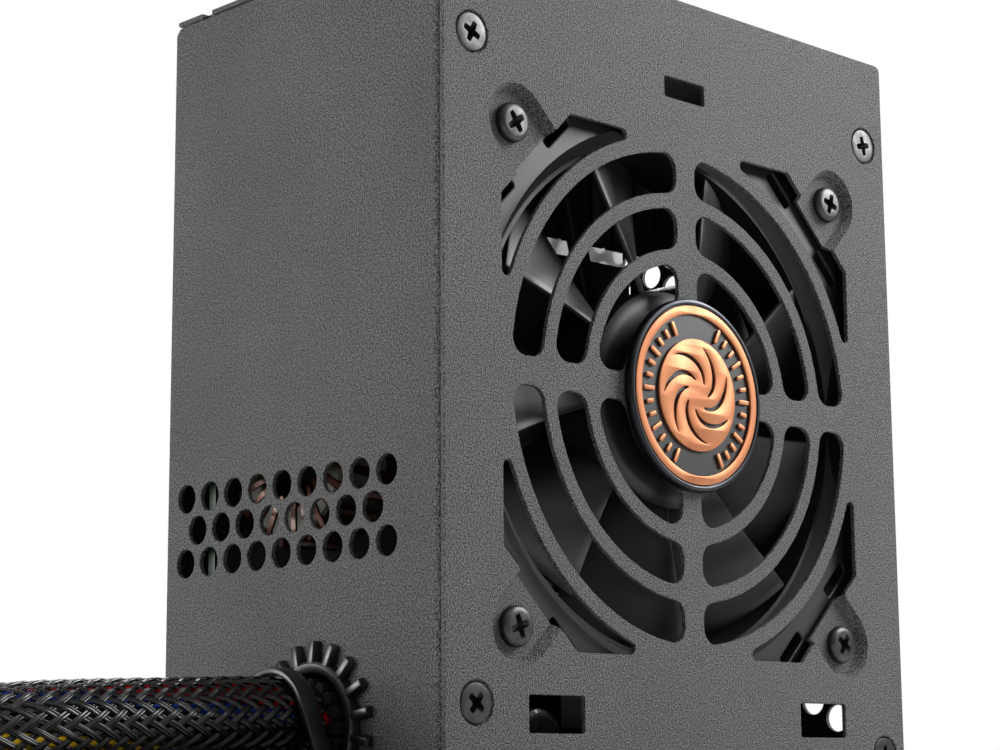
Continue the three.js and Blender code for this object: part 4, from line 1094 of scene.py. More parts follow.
@dataclass
class CoverShell:
    """The folded cover: the fan face between two side panels, with its pressed screw bosses."""

    bend: float = 1.6
    edge: float = THICKNESS / 2 - 1.25

    def fold(self) -> Fold:
        """The line the blank is folded along, from the low side panel round to the high one."""
        panel = self.edge - FACE_Y - self.bend
        face = HEIGHT - 2 * self.bend
        steps = [(panel, 0), (90, self.bend), (face, 0), (90, self.bend), (panel, 0)]
        return Fold((self.edge, 0.0), 180.0, -1, steps)

    def blank(self) -> bmesh.types.BMesh:
        """The flat blank with its grille, slots and screw holes."""
        fold = self.fold()
        lengths = [fold.arc_length(step) for step in fold.steps]
        total = sum(lengths)
        rise = lengths[0] + lengths[1] - self.bend
        half = DEPTH / 2
        notch = self.edge - 24.3
        outline = [(-half, 0), (half - 0.3, 0), (half, 0.3), (half, total - 0.3), (half - 0.3, total),
                   (-half, total), (-half, total - notch), (1.2 - half, total - notch),
                   (1.2 - half, total - notch - 2.5), (-half, total - notch - 2.5),
                   (-half, notch + 2.5), (1.2 - half, notch + 2.5), (1.2 - half, notch), (-half, notch)]
        holes = [moved(loop, 0, rise + FAN_Z) for loop in Grille().loops()]
        holes += [circle(x, z + rise, 3.12, 28) for x, z in CASE_SCREWS]
        slots = [(0.25, 110.05, 4.55, 1.65), (-28.95, 14.9, 5.45, 2.6), (29.6, 14.8, 5.5, 2.6)]
        holes += [rounded(x, z + rise, a, b, 0.35, 2) for x, z, a, b in slots]
        return flat_plate(outline, holes, SHEET, 0.16)

    def boss_cup(self, sx: int, sz: int) -> bmesh.types.BMesh:
        """One pressed boss: its sloped wall and its floor, open towards the fan.

        Args:
            sx: which side of the fan it is on along X.
            sz: which side of the fan it is on along Z.

        Returns:
            The boss in place.
        """
        cup = bmesh.new()
        start = [(-5.45, -5.5)] + arc(0, 0, 5.5, -90, 90, 18) + [(-5.45, 5.5)]
        verts = [cup.verts.new((u, v, 0.14)) for u, v in start]
        rim = [cup.edges.new(pair) for pair in zip(verts, verts[1:])]
        for grow, drop in ((5.34 / 5.5, 0.16), (4.72 / 5.34, 0.9), (4.5 / 4.72, 0.3)):
            made = bmesh.ops.extrude_edge_only(cup, edges=rim)["geom"]
            moving = [g for g in made if isinstance(g, bmesh.types.BMVert)]
            rim = [g for g in made
                   if isinstance(g, bmesh.types.BMEdge) and all(v in moving for v in g.verts)]
            for vert in moving:
                flat = max(vert.co.x, 0.0)
                vert.co.x += flat * (grow - 1)
                vert.co.y *= grow
            bmesh.ops.translate(cup, vec=(0, 0, drop), verts=moving)
        ends = sorted((v for e in rim for v in e.verts if sum(o in rim for o in v.link_edges) == 1),
                      key=lambda v: v.co.y)
        rim.append(cup.edges.new((ends[0], ends[-1])))
        bmesh.ops.contextual_create(cup, geom=rim)
        bmesh.ops.recalc_face_normals(cup, faces=cup.faces)
        lowest = max(cup.faces, key=lambda f: f.calc_area())
        if lowest.normal.z > 0:
            bmesh.ops.reverse_faces(cup, faces=cup.faces)
        bmesh.ops.solidify(cup, geom=list(cup.faces), thickness=0.5)
        spin = Matrix.Rotation(math.atan2(sz, sx), 4, "Z")
        bmesh.ops.transform(cup, matrix=spin, verts=cup.verts)
        half = FAN_SQUARE / 2
        return placed(cup, FRONT, (sx * half, FACE_Y, FAN_Z + sz * half))

    def dimple(self, x: float, z: float) -> bmesh.types.BMesh:
        """The pressed cone under one case screw."""
        ring = lathe([(3.25, 0.1), (3.25, 0.7), (2.4, 1.4), (1.9, 1.4), (3.1, 0.3)], 28, True)
        return placed(ring, FRONT, (x, FACE_Y, z))

    def build(self) -> None:
        """Makes the cover."""
        shell = self.fold().shape(self.blank())
        cups = [self.boss_cup(sx, sz) for sx, sz in CORNERS]
        dimples = [self.dimple(x, z) for x, z in CASE_SCREWS]
        finished("cover_folded", merged([shell, *cups, *dimples]), [POWDER_COAT], "case", ["cover_shell"],
                 smooth=18)


def vent_field(u_first: float, v_first: float, rows: int, columns: int) -> list[Pair]:
    """Places of a staggered vent field, rows along v."""
    return [(u_first + row * VENT_ROWS, v_first + (column + row % 2 / 2) * VENT_PITCH)
            for row in range(rows) for column in range(columns - row % 2)]


@dataclass
class BaseShell:
    """The folded base: the closed panel, the cable wall, the mains wall and two flanges under the face."""

    bend: float = 1.2
    low: float = 1.1
    high: float = 123.9
    chamfer: float = 1.7
    flange_edge: float = 41.55
    case_hole: float = 2.05
    mount_hole: float = 1.75
    mounts: Pair = (25.75, 56.5)
    inlet: Pair = (6.0, 24.0)
    switch: Pair = (8.0, 56.5)
    cable_exit: Pair = (-5.45, 13.3)

    def fold(self) -> Fold:
        """The line the blank is folded along, from the cable side flange round to the mains side one."""
        front = FACE_Y + SHEET + 0.3
        flange = WALL_X - self.bend - self.flange_edge
        wall = THICKNESS / 2 - front - 2 * self.bend
        panel = DEPTH - 2 * self.bend
        steps = [(flange, 0), (90, self.bend), (wall, 0), (90, self.bend), (panel, 0), (90, self.bend),
                 (wall, 0), (90, self.bend), (flange, 0)]
        return Fold((-self.flange_edge, front), 180.0, -1, steps)

    def blank(self) -> bmesh.types.BMesh:
        """The flat blank with its vents, cable hole, mains openings and mounting holes."""
        fold = self.fold()
        ends = [0.0]
        for step in fold.steps:
            ends.append(ends[-1] + fold.arc_length(step))
        front = FACE_Y + SHEET + 0.3 + self.bend
        back = THICKNESS / 2 - self.bend

        def cable(y: float) -> float:
            """The blank place of a y on the cable wall."""
            return ends[2] + y - front

        def closed(x: float) -> float:
            """The blank place of an x on the closed panel."""
            return ends[4] + x + WALL_X - self.bend

        def mains(y: float) -> float:
            """The blank place of a y on the mains wall."""
            return ends[6] + back - y

        low, high, cut = self.low, self.high, self.chamfer
        cable_slope, mains_slope = ends[3] - 0.5, ends[6] + 0.5
        outline = [(0, low), (cable_slope, low), (ends[4], low + cut), (ends[5], low + cut),
                   (mains_slope, low), (ends[-1], low), (ends[-1], high), (mains_slope, high),
                   (ends[5], high - cut), (ends[4], high - cut), (cable_slope, high), (0, high)]
        holes = [circle(cable(y), z, VENT_RADIUS, 20) for z, y in vent_field(38.49, -19.9, 3, 9)]
        # The mains wall's vents leave room round the inlet and the switch.
        bottom = HEIGHT - 28.33 - 14 * VENT_PITCH
        holes += [circle(mains(y), z, VENT_RADIUS, 20) for y, z in vent_field(-19.0, bottom, 10, 17)
                  if y < self.inlet[0] - 18.7 or z > self.switch[1] + 13.7]
        holes += [circle(closed(x), z, VENT_RADIUS, 20) for x, z in vent_field(24.5, 35.2, 4, 3)]
        holes.append(circle(cable(self.cable_exit[0]), self.cable_exit[1], 9.1, 48))
        holes.append(rounded(mains(self.inlet[0]), self.inlet[1], 13.8, 10.3, 1.0, 3))
        holes.append(rounded(mains(self.switch[0]), self.switch[1], 6.8, 9.8, 0.6, 3))
        for sy, sz in CORNERS:
            y, z = sy * self.mounts[0], FAN_Z + sz * self.mounts[1]
            holes.append(circle(mains(y), z, self.mount_hole, 20))
        for x, z in CASE_SCREWS:
            along = -self.flange_edge - x if x < 0 else ends[-1] + self.flange_edge - x
            holes.append(circle(along, z, self.case_hole, 20))
        return flat_plate(outline, holes, SHEET, 0.14)

    def standoff(self, x: float, z: float) -> bmesh.types.BMesh:
        """One extruded standoff under the board."""
        ring = lathe([(1.65, 26.3), (2.9, 26.3), (3.0, 26.5), (3.0, 31.2), (1.65, 31.2)], 20, True)
        return placed(ring, FRONT, (x, 0, z))

    def build(self) -> None:
        """Makes the base."""
        blank = self.blank()
        bmesh.ops.transform(blank, matrix=Matrix(((0, 1, 0), (1, 0, 0), (0, 0, 1))).to_4x4(),
                            verts=blank.verts)
        shell = self.fold().shape(blank)
        bmesh.ops.transform(shell, matrix=Matrix(((0, 1, 0), (0, 0, 1), (1, 0, 0))).to_4x4(),
                            verts=shell.verts)
        bmesh.ops.recalc_face_normals(shell, faces=shell.faces)
        standoffs = [self.standoff(x, z) for x, z in BOARD_SCREWS]
        finished("base_folded", merged([shell, *standoffs]), [POWDER_COAT], "case", ["base_shell"],
                 smooth=18)


class Head(Enum):
    """The form of a screw's head."""

    COUNTERSUNK = "countersunk"
    PAN = "pan"


@dataclass
class Screw:
    """A cross-recessed screw along Y, its head towards the fan face."""

    head: Head
    radius: float
    shank: float
    length: float
    cross: float

    def profile(self) -> list[Pair]:
        """Its half section, from the middle of the head to the end of the shank."""
        r, s, end = self.radius, self.shank, self.length
        if self.head is Head.COUNTERSUNK:
            top = [(0, 0.0), (r - 0.5, 0.0), (r - 0.15, 0.08), (r, 0.25), (s, 0.25 + r - s)]
        else:
            top = [(0, -1.2), (r * 0.7, -1.18), (r * 0.88, -1.06), (r * 0.97, -0.8), (r, -0.4), (r, 0),
                   (s, 0)]
        return top + [(s, end - 0.5), (s - 0.5, end), (0, end)]

    def recess(self) -> bmesh.types.BMesh:
        """The tool that cuts the cross recess, narrower at its foot."""
        a, b = self.cross, self.cross * 0.26
        loop = []
        for quadrant in range(4):
            arm = [(a * 0.94, -b), (a, -b * 0.7), (a, b * 0.7), (a * 0.94, b), (b * 1.25, b * 1.25)]
            loop += turned(arm, 90 * quadrant)
        tool = prism(loop, 2.4, 0)
        for vert in tool.verts:
            if vert.co.z > 1:
                vert.co.x *= 0.42
                vert.co.y *= 0.42
        top = -0.9 if self.head is Head.COUNTERSUNK else -2.0
        bmesh.ops.translate(tool, vec=(0, 0, top), verts=tool.verts)
        return tool

    def build(self, name: str, node: str, at: Sequence[float]) -> None:
        """One screw in place of its node."""
        body = carved(lathe(self.profile(), 36), self.recess())
        spin = Matrix.Rotation(math.radians(sum(map(ord, name)) * 37 % 90), 4, "Z")
        bmesh.ops.transform(body, matrix=spin, verts=body.verts)
        finished(name, placed(body, FRONT, at), [BRIGHT_STEEL], "case", [node])


@dataclass
class Fasteners:
    """The four countersunk case screws and the four pan head fan screws."""

    def build(self) -> None:
        """Makes all eight."""
        flat = Screw(Head.COUNTERSUNK, 2.85, 1.5, 6.0, 2.05)
        for index, (x, z) in enumerate(CASE_SCREWS, 1):
            flat.build(f"case_screw_{index}_cross", f"case_screw_{index}", (x, FACE_Y + 0.05, z))
        pan = Screw(Head.PAN, 2.9, 1.7, 7.0, 2.1)
        half = FAN_SQUARE / 2
        for index, (sx, sz) in enumerate(CORNERS, 1):
            at = (sx * half, FACE_Y + 1.4, FAN_Z + sz * half)
            pan.build(f"fan_screw_{index}_cross", f"fan_screw_{index}", at)


@dataclass
class Fan:
    """The 80 mm fan: its square frame, its nine-bladed rotor and its two-wire lead."""

    front: float = -29.15
    back: float = -14.15
    bore: float = 38.5
    hub: float = 16.8
    blades: int = 9
    first: float = 35.0
    flange: float = 3.5
    mouth: float = 41.4

    def frame_plate(self, slotted: bool) -> bmesh.types.BMesh:
        """One flange of the frame; the front one has the corner slots."""
        half = FAN_SQUARE / 2
        holes = [circle(0, 0, self.bore, 96)] + [
            circle(sx * half, sz * half, 2.15, 16) for sx, sz in CORNERS]
        if slotted:
            for quadrant in range(4):
                for side in (-1, 1):
                    slot = rounded(43.9, side * 8.0, 0.85, 3.2, 0.5, 3)
                    holes.append(turned(slot, 45 + 90 * quadrant))
        return flat_plate(rounded(0, 0, 40, 40, 4, 6), holes, self.flange, 0.25)

    def flare(self) -> bmesh.types.BMesh:
        """The tool that flares the bore's mouth, cut off square just inside the frame's sides."""
        wide = (self.mouth - self.bore) / self.flange
        cone = lathe([(0, -1), (self.mouth + wide, -1), (self.bore - 0.05, self.flange),
                      (0, self.flange)], 96)
        for turn in range(4):
            ahead = Vector((round(math.cos(math.pi / 2 * turn)), round(math.sin(math.pi / 2 * turn)), 0))
            everything = list(cone.verts) + list(cone.edges) + list(cone.faces)
            cut = bmesh.ops.bisect_plane(cone, geom=everything, dist=0.0001, plane_co=ahead * 39.2,
                                         plane_no=ahead, clear_outer=True)["geom_cut"]
            bmesh.ops.contextual_create(cone, geom=[g for g in cut if isinstance(g, bmesh.types.BMEdge)])
        bmesh.ops.recalc_face_normals(cone, faces=cone.faces)
        return placed(cone, FRONT, (0, self.front, FAN_Z))

    def frame(self) -> None:
        """The frame: two flanges, the tube between them, four struts, the bearing seat and the collar about
        the shaft.
        """
        at = (0, 0, FAN_Z)
        front = placed(self.frame_plate(True), FRONT, (0, self.front, FAN_Z))
        back = placed(self.frame_plate(False), FRONT, (0, self.back - self.flange, FAN_Z))
        wall = lathe([(self.bore, -26.5), (39.9, -26.5), (39.9, -16.5), (self.bore, -16.5)], 96, True)
        seat = lathe([(0, -16.15), (15.2, -16.15), (self.hub, -15.4), (self.hub, -14.4), (16.4, -14.15),
                      (0, -14.15)], 60)
        collar = lathe([(2.9, -24.6), (3.7, -24.6), (3.7, -15.8), (2.9, -15.8)], 24, True)
        front = carved(front, self.flare())
        parts = [front, back, placed(wall, FRONT, at), placed(seat, FRONT, at), placed(collar, FRONT, at)]
        for strut in range(4):
            bar = brick((self.hub - 1.2, -1.5, -16.1), (self.bore + 0.6, 1.5, -14.2), 0.4)
            spin = Matrix.Rotation(math.radians(15 + 90 * strut), 4, "Z")
            bmesh.ops.transform(bar, matrix=spin, verts=bar.verts)
            parts.append(placed(bar, FRONT, at))
        finished("fan_frame_moulded", merged(parts), [FAN_PLASTIC], "case", ["fan_frame"],
                 smooth=18)

    def blade(self, start: float) -> bmesh.types.BMesh:
        """One blade on a twisted surface from the hub to just inside the bore.

        Args:
            start: the angle of its leading edge at the tip, in degrees.

        Returns:
            The blade.
        """
        piece = bmesh.new()
        bmesh.ops.create_grid(piece, x_segments=14, y_segments=12, size=0.5)
        root, tip = self.hub - 0.6, self.bore - 0.95
        near, far = self.front + 1.75, self.back - 3.55
        for vert in piece.verts:
            along, across = vert.co.x + 0.5, vert.co.y + 0.5
            radius = root + (tip - root) * along
            camber = 1 - (2 * across - 1) ** 2
            turn = math.radians(start - 7 * (1 - along) ** 1.4 - 30 * across)
            depth = near + (far - near) * across - 0.9 * camber
            vert.co = (radius * math.cos(turn), radius * math.sin(turn), depth)
        bmesh.ops.recalc_face_normals(piece, faces=piece.faces)
        if sum(face.normal.z for face in piece.faces) > 0:
            bmesh.ops.reverse_faces(piece, faces=piece.faces)
        bmesh.ops.solidify(piece, geom=list(piece.faces), thickness=0.85)
        rim = [e for e in piece.edges if e.calc_face_angle(0) > math.radians(55)]
        bmesh.ops.bevel(piece, geom=rim, offset=0.3, offset_type="OFFSET", segments=2, profile=0.5,
                        affect="EDGES", material=-1, clamp_overlap=True)
        return placed(piece, FRONT, (0, 0, FAN_Z))

    def rotor(self) -> None:
        """The hub cup with its rounded nose and the blades."""
        f, h = self.front + 0.9, self.hub
        profile = [(0, f), (h - 2.2, f), (h - 1.0, f + 0.2), (h - 0.25, f + 0.8), (h, f + 1.8),
                   (h, f + 10.3), (h - 0.2, f + 10.5), (h - 1.2, f + 10.5), (h - 1.2, f + 1.2),
                   (0, f + 1.2)]
        cup = placed(lathe(profile, 72), FRONT, (0, 0, FAN_Z))
        blades = [self.blade(self.first + 360 / self.blades * k) for k in range(self.blades)]
        finished("fan_rotor_moulded", merged([cup, *blades]), [FAN_PLASTIC], "fan", ["fan_rotor"])

    def lead(self) -> None:
        """The fan's red and black wires, from the hub to the board."""
        route = Route([(-20, -12.55, 66.5), (-28, -11.95, 71.5), (-34, -8.15, 78.5), (-36, -0.15, 86.5),
                       (-36, 11.85, 90.5), (-36, 24.1, 90.5)])
        count = 40
        runs = []
        for slot, phase in enumerate((0.0, math.pi)):
            centres = [route.around(route.length * k / count, phase + k * 0.5, 0.56)
                       for k in range(count + 1)]
            runs.append(tube(centres, 0.55, 8, slot))
        finished("fan_lead_twisted", merged(runs), [WIRES["red"], WIRES["black"]], "case", ["fan_lead"])

    def build(self) -> None:
        """Makes the fan."""
        self.frame()
        self.rotor()
        self.lead()


@dataclass
class Badge:
    """The round badge on the grille's middle: a dark recess, a bright ring, tick marks and a swirl disc."""

    radius: float = 14.6
    seat: float = FACE_Y - 0.1
    ring: Pair = (12.2, 13.55)
    disc: float = 8.5

    def swirl(self, count: int = 7) -> list[list[Pair]]:
        """The curved grooves of the disc, like the gaps between fan blades."""
        loops = []
        for k in range(count):
            near, far = [], []
            for i in range(13):
                t = i / 12
                reach = 2.3 + 5.1 * t
                turn = math.radians(360 / count * k + 78 * t)
                half = 0.16 + 0.62 * math.sin(math.pi * t) ** 0.8 * (0.4 + 0.6 * t)
                spread = half / reach
                near.append((reach * math.cos(turn - spread), reach * math.sin(turn - spread)))
                far.append((reach * math.cos(turn + spread), reach * math.sin(turn + spread)))
            loops.append(near + far[::-1])
        return loops

    def ticks(self) -> list[bmesh.types.BMesh]:
        """Short radial bars in two arcs, every third one longer."""
        pieces = []
        for centre in (0.0, 180.0):
            for k in range(-6, 7):
                reach = 1.15 if k % 3 == 0 else 0.75
                bar = rounded(10.65, 0, reach, 0.32, 0.2, 2)
                pieces.append(placed(flat_plate(turned(bar, centre + 10.5 * k), [], 0.35, 0.08), FRONT,
                                     (0, self.seat - 1.45, FAN_Z)))
        return pieces

    def build(self) -> None:
        """Makes the badge."""
        r, s = self.radius, self.seat
        rim = [(13.75, s - 0.9), (13.72, s - 1.38), (13.85, s - 1.48), (14.1, s - 1.5), (14.4, s - 1.38),
               (r, s - 1.05), (r, s - 0.15), (r - 0.15, s), (12.0, s), (12.0, s - 0.9)]
        body = dressed(placed(lathe(rim, 96, True), FRONT, (0, 0, FAN_Z)), 0)
        floor = dressed(placed(lathe([(0, s - 1.0), (13.76, s - 1.0), (13.76, s - 0.2), (0, s - 0.2)], 96),
                               FRONT, (0, 0, FAN_Z)), 1)
        finished("badge_body_cast", merged([body, floor]), [BADGE_METAL, BADGE_ENAMEL], "case",
                 ["badge_body"])
        band = flat_plate(circle(0, 0, self.ring[1], 96), [circle(0, 0, self.ring[0], 96)], 0.4, 0.12)
        band = placed(band, FRONT, (0, s - 1.45, FAN_Z))
        finished("badge_ring_and_ticks", merged([band, *self.ticks()]), [BADGE_BRONZE], "case",
                 ["badge_ring"])
        face = placed(flat_plate(circle(0, 0, self.disc, 80), self.swirl(), 0.4, 0.1), FRONT,
                      (0, s - 1.45, FAN_Z))
        finished("badge_disc_swirl", face, [BADGE_BRONZE], "case", ["badge_disc"])


@dataclass
class CableExit:
    """The toothed grommet, the tie round both cables, and the loose wires inside the case."""

    y: float = -5.45
    z: float = 13.3
    teeth: int = 18

    def grommet(self) -> None:
        """The snap-in bush: a rolled rim, a neck through the wall, and teeth that grip the wall outside."""
        profile = [(7.6, -51.1), (7.75, -51.5), (8.2, -51.75), (8.9, -51.75), (9.2, -51.5), (9.3, -51.1),
                   (9.3, -50.1), (8.8, -50.1), (8.8, -49.1), (9.8, -49.0), (8.8, -47.8), (7.6, -47.8)]
        bush = placed(lathe(profile, 64, True), SIDE, (0, self.y, self.z))
        parts = [bush]
        for k in range(self.teeth):
            tooth = bmesh.new()
            bmesh.ops.create_cube(tooth, size=1.0)
            bmesh.ops.scale(tooth, vec=(3.2, 1.7, 1.6), verts=tooth.verts)
            bmesh.ops.translate(tooth, vec=(10.5, 0, -50.9), verts=tooth.verts)
            for vert in tooth.verts:
                if vert.co.z < -51:
                    vert.co.y *= 0.62
                    vert.co.z += 0.35 if vert.co.x > 10.5 else 0
            bmesh.ops.bevel(tooth, geom=list(tooth.edges), offset=0.16, offset_type="OFFSET", segments=2,
                            profile=0.5, affect="EDGES", material=-1, clamp_overlap=True)
            spin = Matrix.Rotation(math.radians(90 + 360 / self.teeth * k), 4, "Z")
            bmesh.ops.transform(tooth, matrix=spin, verts=tooth.verts)
            parts.append(placed(tooth, SIDE, (0, self.y, self.z)))
        finished("cable_grommet_toothed", merged(parts), [GROMMET_PLASTIC], "case", ["cable_grommet"])

    def belt(self, margin: float) -> list[Pair]:
        """The line of a belt round both cables, out by a margin."""
        y1, z1, r1 = -3.9, 13.9, 6.5
        y2, z2, r2 = -10.7, 5.5, 4.0
        along = math.degrees(math.atan2(z1 - z2, y1 - y2))
        lean = math.degrees(math.asin((r1 - r2) / math.hypot(y1 - y2, z1 - z2)))
        points = arc(y1, z1, r1 + margin, along - 90 - lean, along + 90 + lean, 30)
        return points + arc(y2, z2, r2 + margin, along + 90 + lean, along + 270 - lean, 20)

    def tie(self) -> None:
        """The tie: a band, its ratchet head and its clipped tail."""
        band = placed(flat_plate(self.belt(1.2), [self.belt(0.25)], 3.0, 0.25), SIDE, (-57.7, 0, 0))
        head = brick((-58.2, 3.6, 11.9), (-54.2, 6.9, 15.4), 0.4)
        slot = brick((-57.6, 4.4, 15.0), (-54.8, 5.6, 15.7), 0.1, 1)
        tail = brick((-57.4, 4.6, 15.2), (-55.0, 5.5, 17.4), 0.2)
        finished("cable_tie_clipped", merged([band, carved(head, slot), tail]), [TIE_PLASTIC], "case",
                 ["cable_tie"])

    def loom(self) -> None:
        """The bare wires from the grommet's mouth to the board."""
        route = Route([(-52.1, -5.45, 13.3), (-46, -5.45, 13.3), (-41, -3.25, 13.9), (-36.5, 3.55, 14.9),
                       (-35, 12.55, 15.3), (-35, 24.1, 15.3)])
        names = sorted(WIRES)
        runs = []
        for reach, count in ((5.9, 17), (3.5, 10), (1.2, 4)):
            for k in range(count):
                phase = math.tau * k / count + reach
                centres = [route.around(route.length * i / 30, phase, reach) for i in range(31)]
                colour = ("black", "red", "black", "blue")[k % 4] if reach < 5 else "black"
                runs.append(tube(centres, 1.0, 7, names.index(colour)))
        finished("wire_loom_bare", merged(runs), [WIRES[n] for n in names], "case", ["wire_loom"])

    def build(self) -> None:
        """Makes the cable exit."""
        self.grommet()
        self.tie()
        self.loom()


@dataclass
class MainsWall:
    """The mains inlet with its three blades, and the rocker switch in its bezel."""

    y: float = 6.0
    z: float = 24.0
    wide: float = 27.0
    tall: float = 20.0
    switch_y: float = 8.0
    switch_z: float = 56.5
    tilt: float = 12.0

    def shroud(self, inset: float) -> list[Pair]:
        """The inlet's outline, its upper corners cut, drawn in by an inset."""
        w, h, c = self.wide / 2 - inset, self.tall / 2 - inset, 4.0
        return [(self.y + u, self.z + v) for u, v in
                ((-w, -h), (w, -h), (w, h - c), (w - c, h), (c - w, h), (-w, h - c))]

    def inlet(self) -> None:
        """The inlet's flange, its deep shroud and its floor with the blade slots."""
        rim = rounded(self.y, self.z, self.wide / 2 + 2, self.tall / 2 + 2, 1.6, 5)
        flange = placed(flat_plate(rim, [self.shroud(1.5)], 1.65, 0.3), SIDE, (50.12, 0, 0))
        wall = placed(flat_plate(self.shroud(0), [self.shroud(1.6)], 16.6, 0.15), SIDE, (34.6, 0, 0))
        slots = [rounded(self.y + u, self.z + v, 1.25, 2.25, 0.3, 2) for u, v in self.pins()]
        floor = placed(flat_plate(self.shroud(0.02), slots, 5.7, 0.15), SIDE, (29.05, 0, 0))
        lip = placed(flat_plate(self.shroud(1.3), [self.shroud(1.75)], 0.9, 0.2), SIDE, (50.7, 0, 0))
        finished("mains_inlet_moulded", merged([flange, wall, floor, lip]), [INLET_PLASTIC], "case",
                 ["mains_inlet"], smooth=18)

    def pins(self) -> list[Pair]:
        """Where the three blades stand about the inlet's middle."""
        return [(-7, -2), (0, 2), (7, -2)]

    def blades(self) -> None:
        """The three blades with chamfered tips."""
        for index, (u, v) in enumerate(self.pins(), 1):
            blade = brick((26.0, self.y + u - 1, self.z + v - 2), (47.1, self.y + u + 1, self.z + v + 2),
                          0.35, 2)
            finished(f"inlet_blade_{index}_stamped", blade, [BLADE_METAL], "case", [f"inlet_blade_{index}"])

    def bezel(self) -> None:
        """The switch's frame: a rounded rim, four walls and a back."""
        rim = rounded(self.switch_y, self.switch_z, 7.5, 10.5, 1.2, 5)
        well = rounded(self.switch_y, self.switch_z, 5.1, 8.1, 0.4, 2)
        outer = rounded(self.switch_y, self.switch_z, 6.5, 9.5, 0.4, 2)
        flange = placed(flat_plate(rim, [well], 1.5, 0.35), SIDE, (50.1, 0, 0))
        wall = placed(flat_plate(outer, [well], 12.3, 0.15), SIDE, (38.0, 0, 0))
        back = placed(flat_plate(outer, [], 1.3, 0.15), SIDE, (38.05, 0, 0))
        finished("switch_bezel_moulded", merged([flange, wall, back]), [INLET_PLASTIC], "case",
                 ["switch_bezel"], smooth=18)

    def rocker(self) -> None:
        """The rocker, its two dished faces meeting in a shallow V, with a bar and a ring printed on them."""
        half = 7.8
        outline = [(-4.2, 2.6 - half), (1.6, 0.9 - half), (3.1, 0.9 - half), (3.4, 1.15 - half),
                   (2.75, -half / 2), (2.2, -0.5), (2.1, 0), (2.2, 0.5), (2.75, half / 2),
                   (3.4, half - 1.15), (3.1, half - 0.9), (1.6, half - 0.9), (-4.2, half - 2.6)]
        body = dressed(placed(prism(outline, 9.6, 0.22), FRONT, (0, -4.8, 0)), 0)
        bar = placed(flat_plate(rounded(0, 0, 0.35, 1.5, 0.2, 2), [], 0.12, 0.03), SIDE, (0, 0, 0))
        ring = placed(flat_plate(circle(0, 0, 1.6, 28), [circle(0, 0, 1.05, 28)], 0.12, 0.03), SIDE,
                      (0, 0, 0))
        marks = []
        for mark, side in ((bar, 1), (ring, -1)):
            lean = Matrix.Rotation(math.radians(-9.3 * side), 4, "Y")
            spot = Matrix.Translation((2.83, 0, side * (half / 2 + 0.4)))
            bmesh.ops.transform(mark, matrix=spot @ lean.inverted(), verts=mark.verts)
            marks.append(dressed(mark, 1))
        whole = merged([body, *marks])
        rest = Matrix.Rotation(math.radians(self.tilt), 4, "Y")
        rest = Matrix.Translation((49, self.switch_y, self.switch_z)) @ rest
        bmesh.ops.transform(whole, matrix=rest, verts=whole.verts)
        finished("switch_rocker_marked", whole, [ROCKER_PLASTIC, PAD_INK], "rocker", ["switch_rocker"])

    def build(self) -> None:
        """Makes the mains wall's fittings."""
        self.inlet()
        self.blades()
        self.bezel()
        self.rocker()


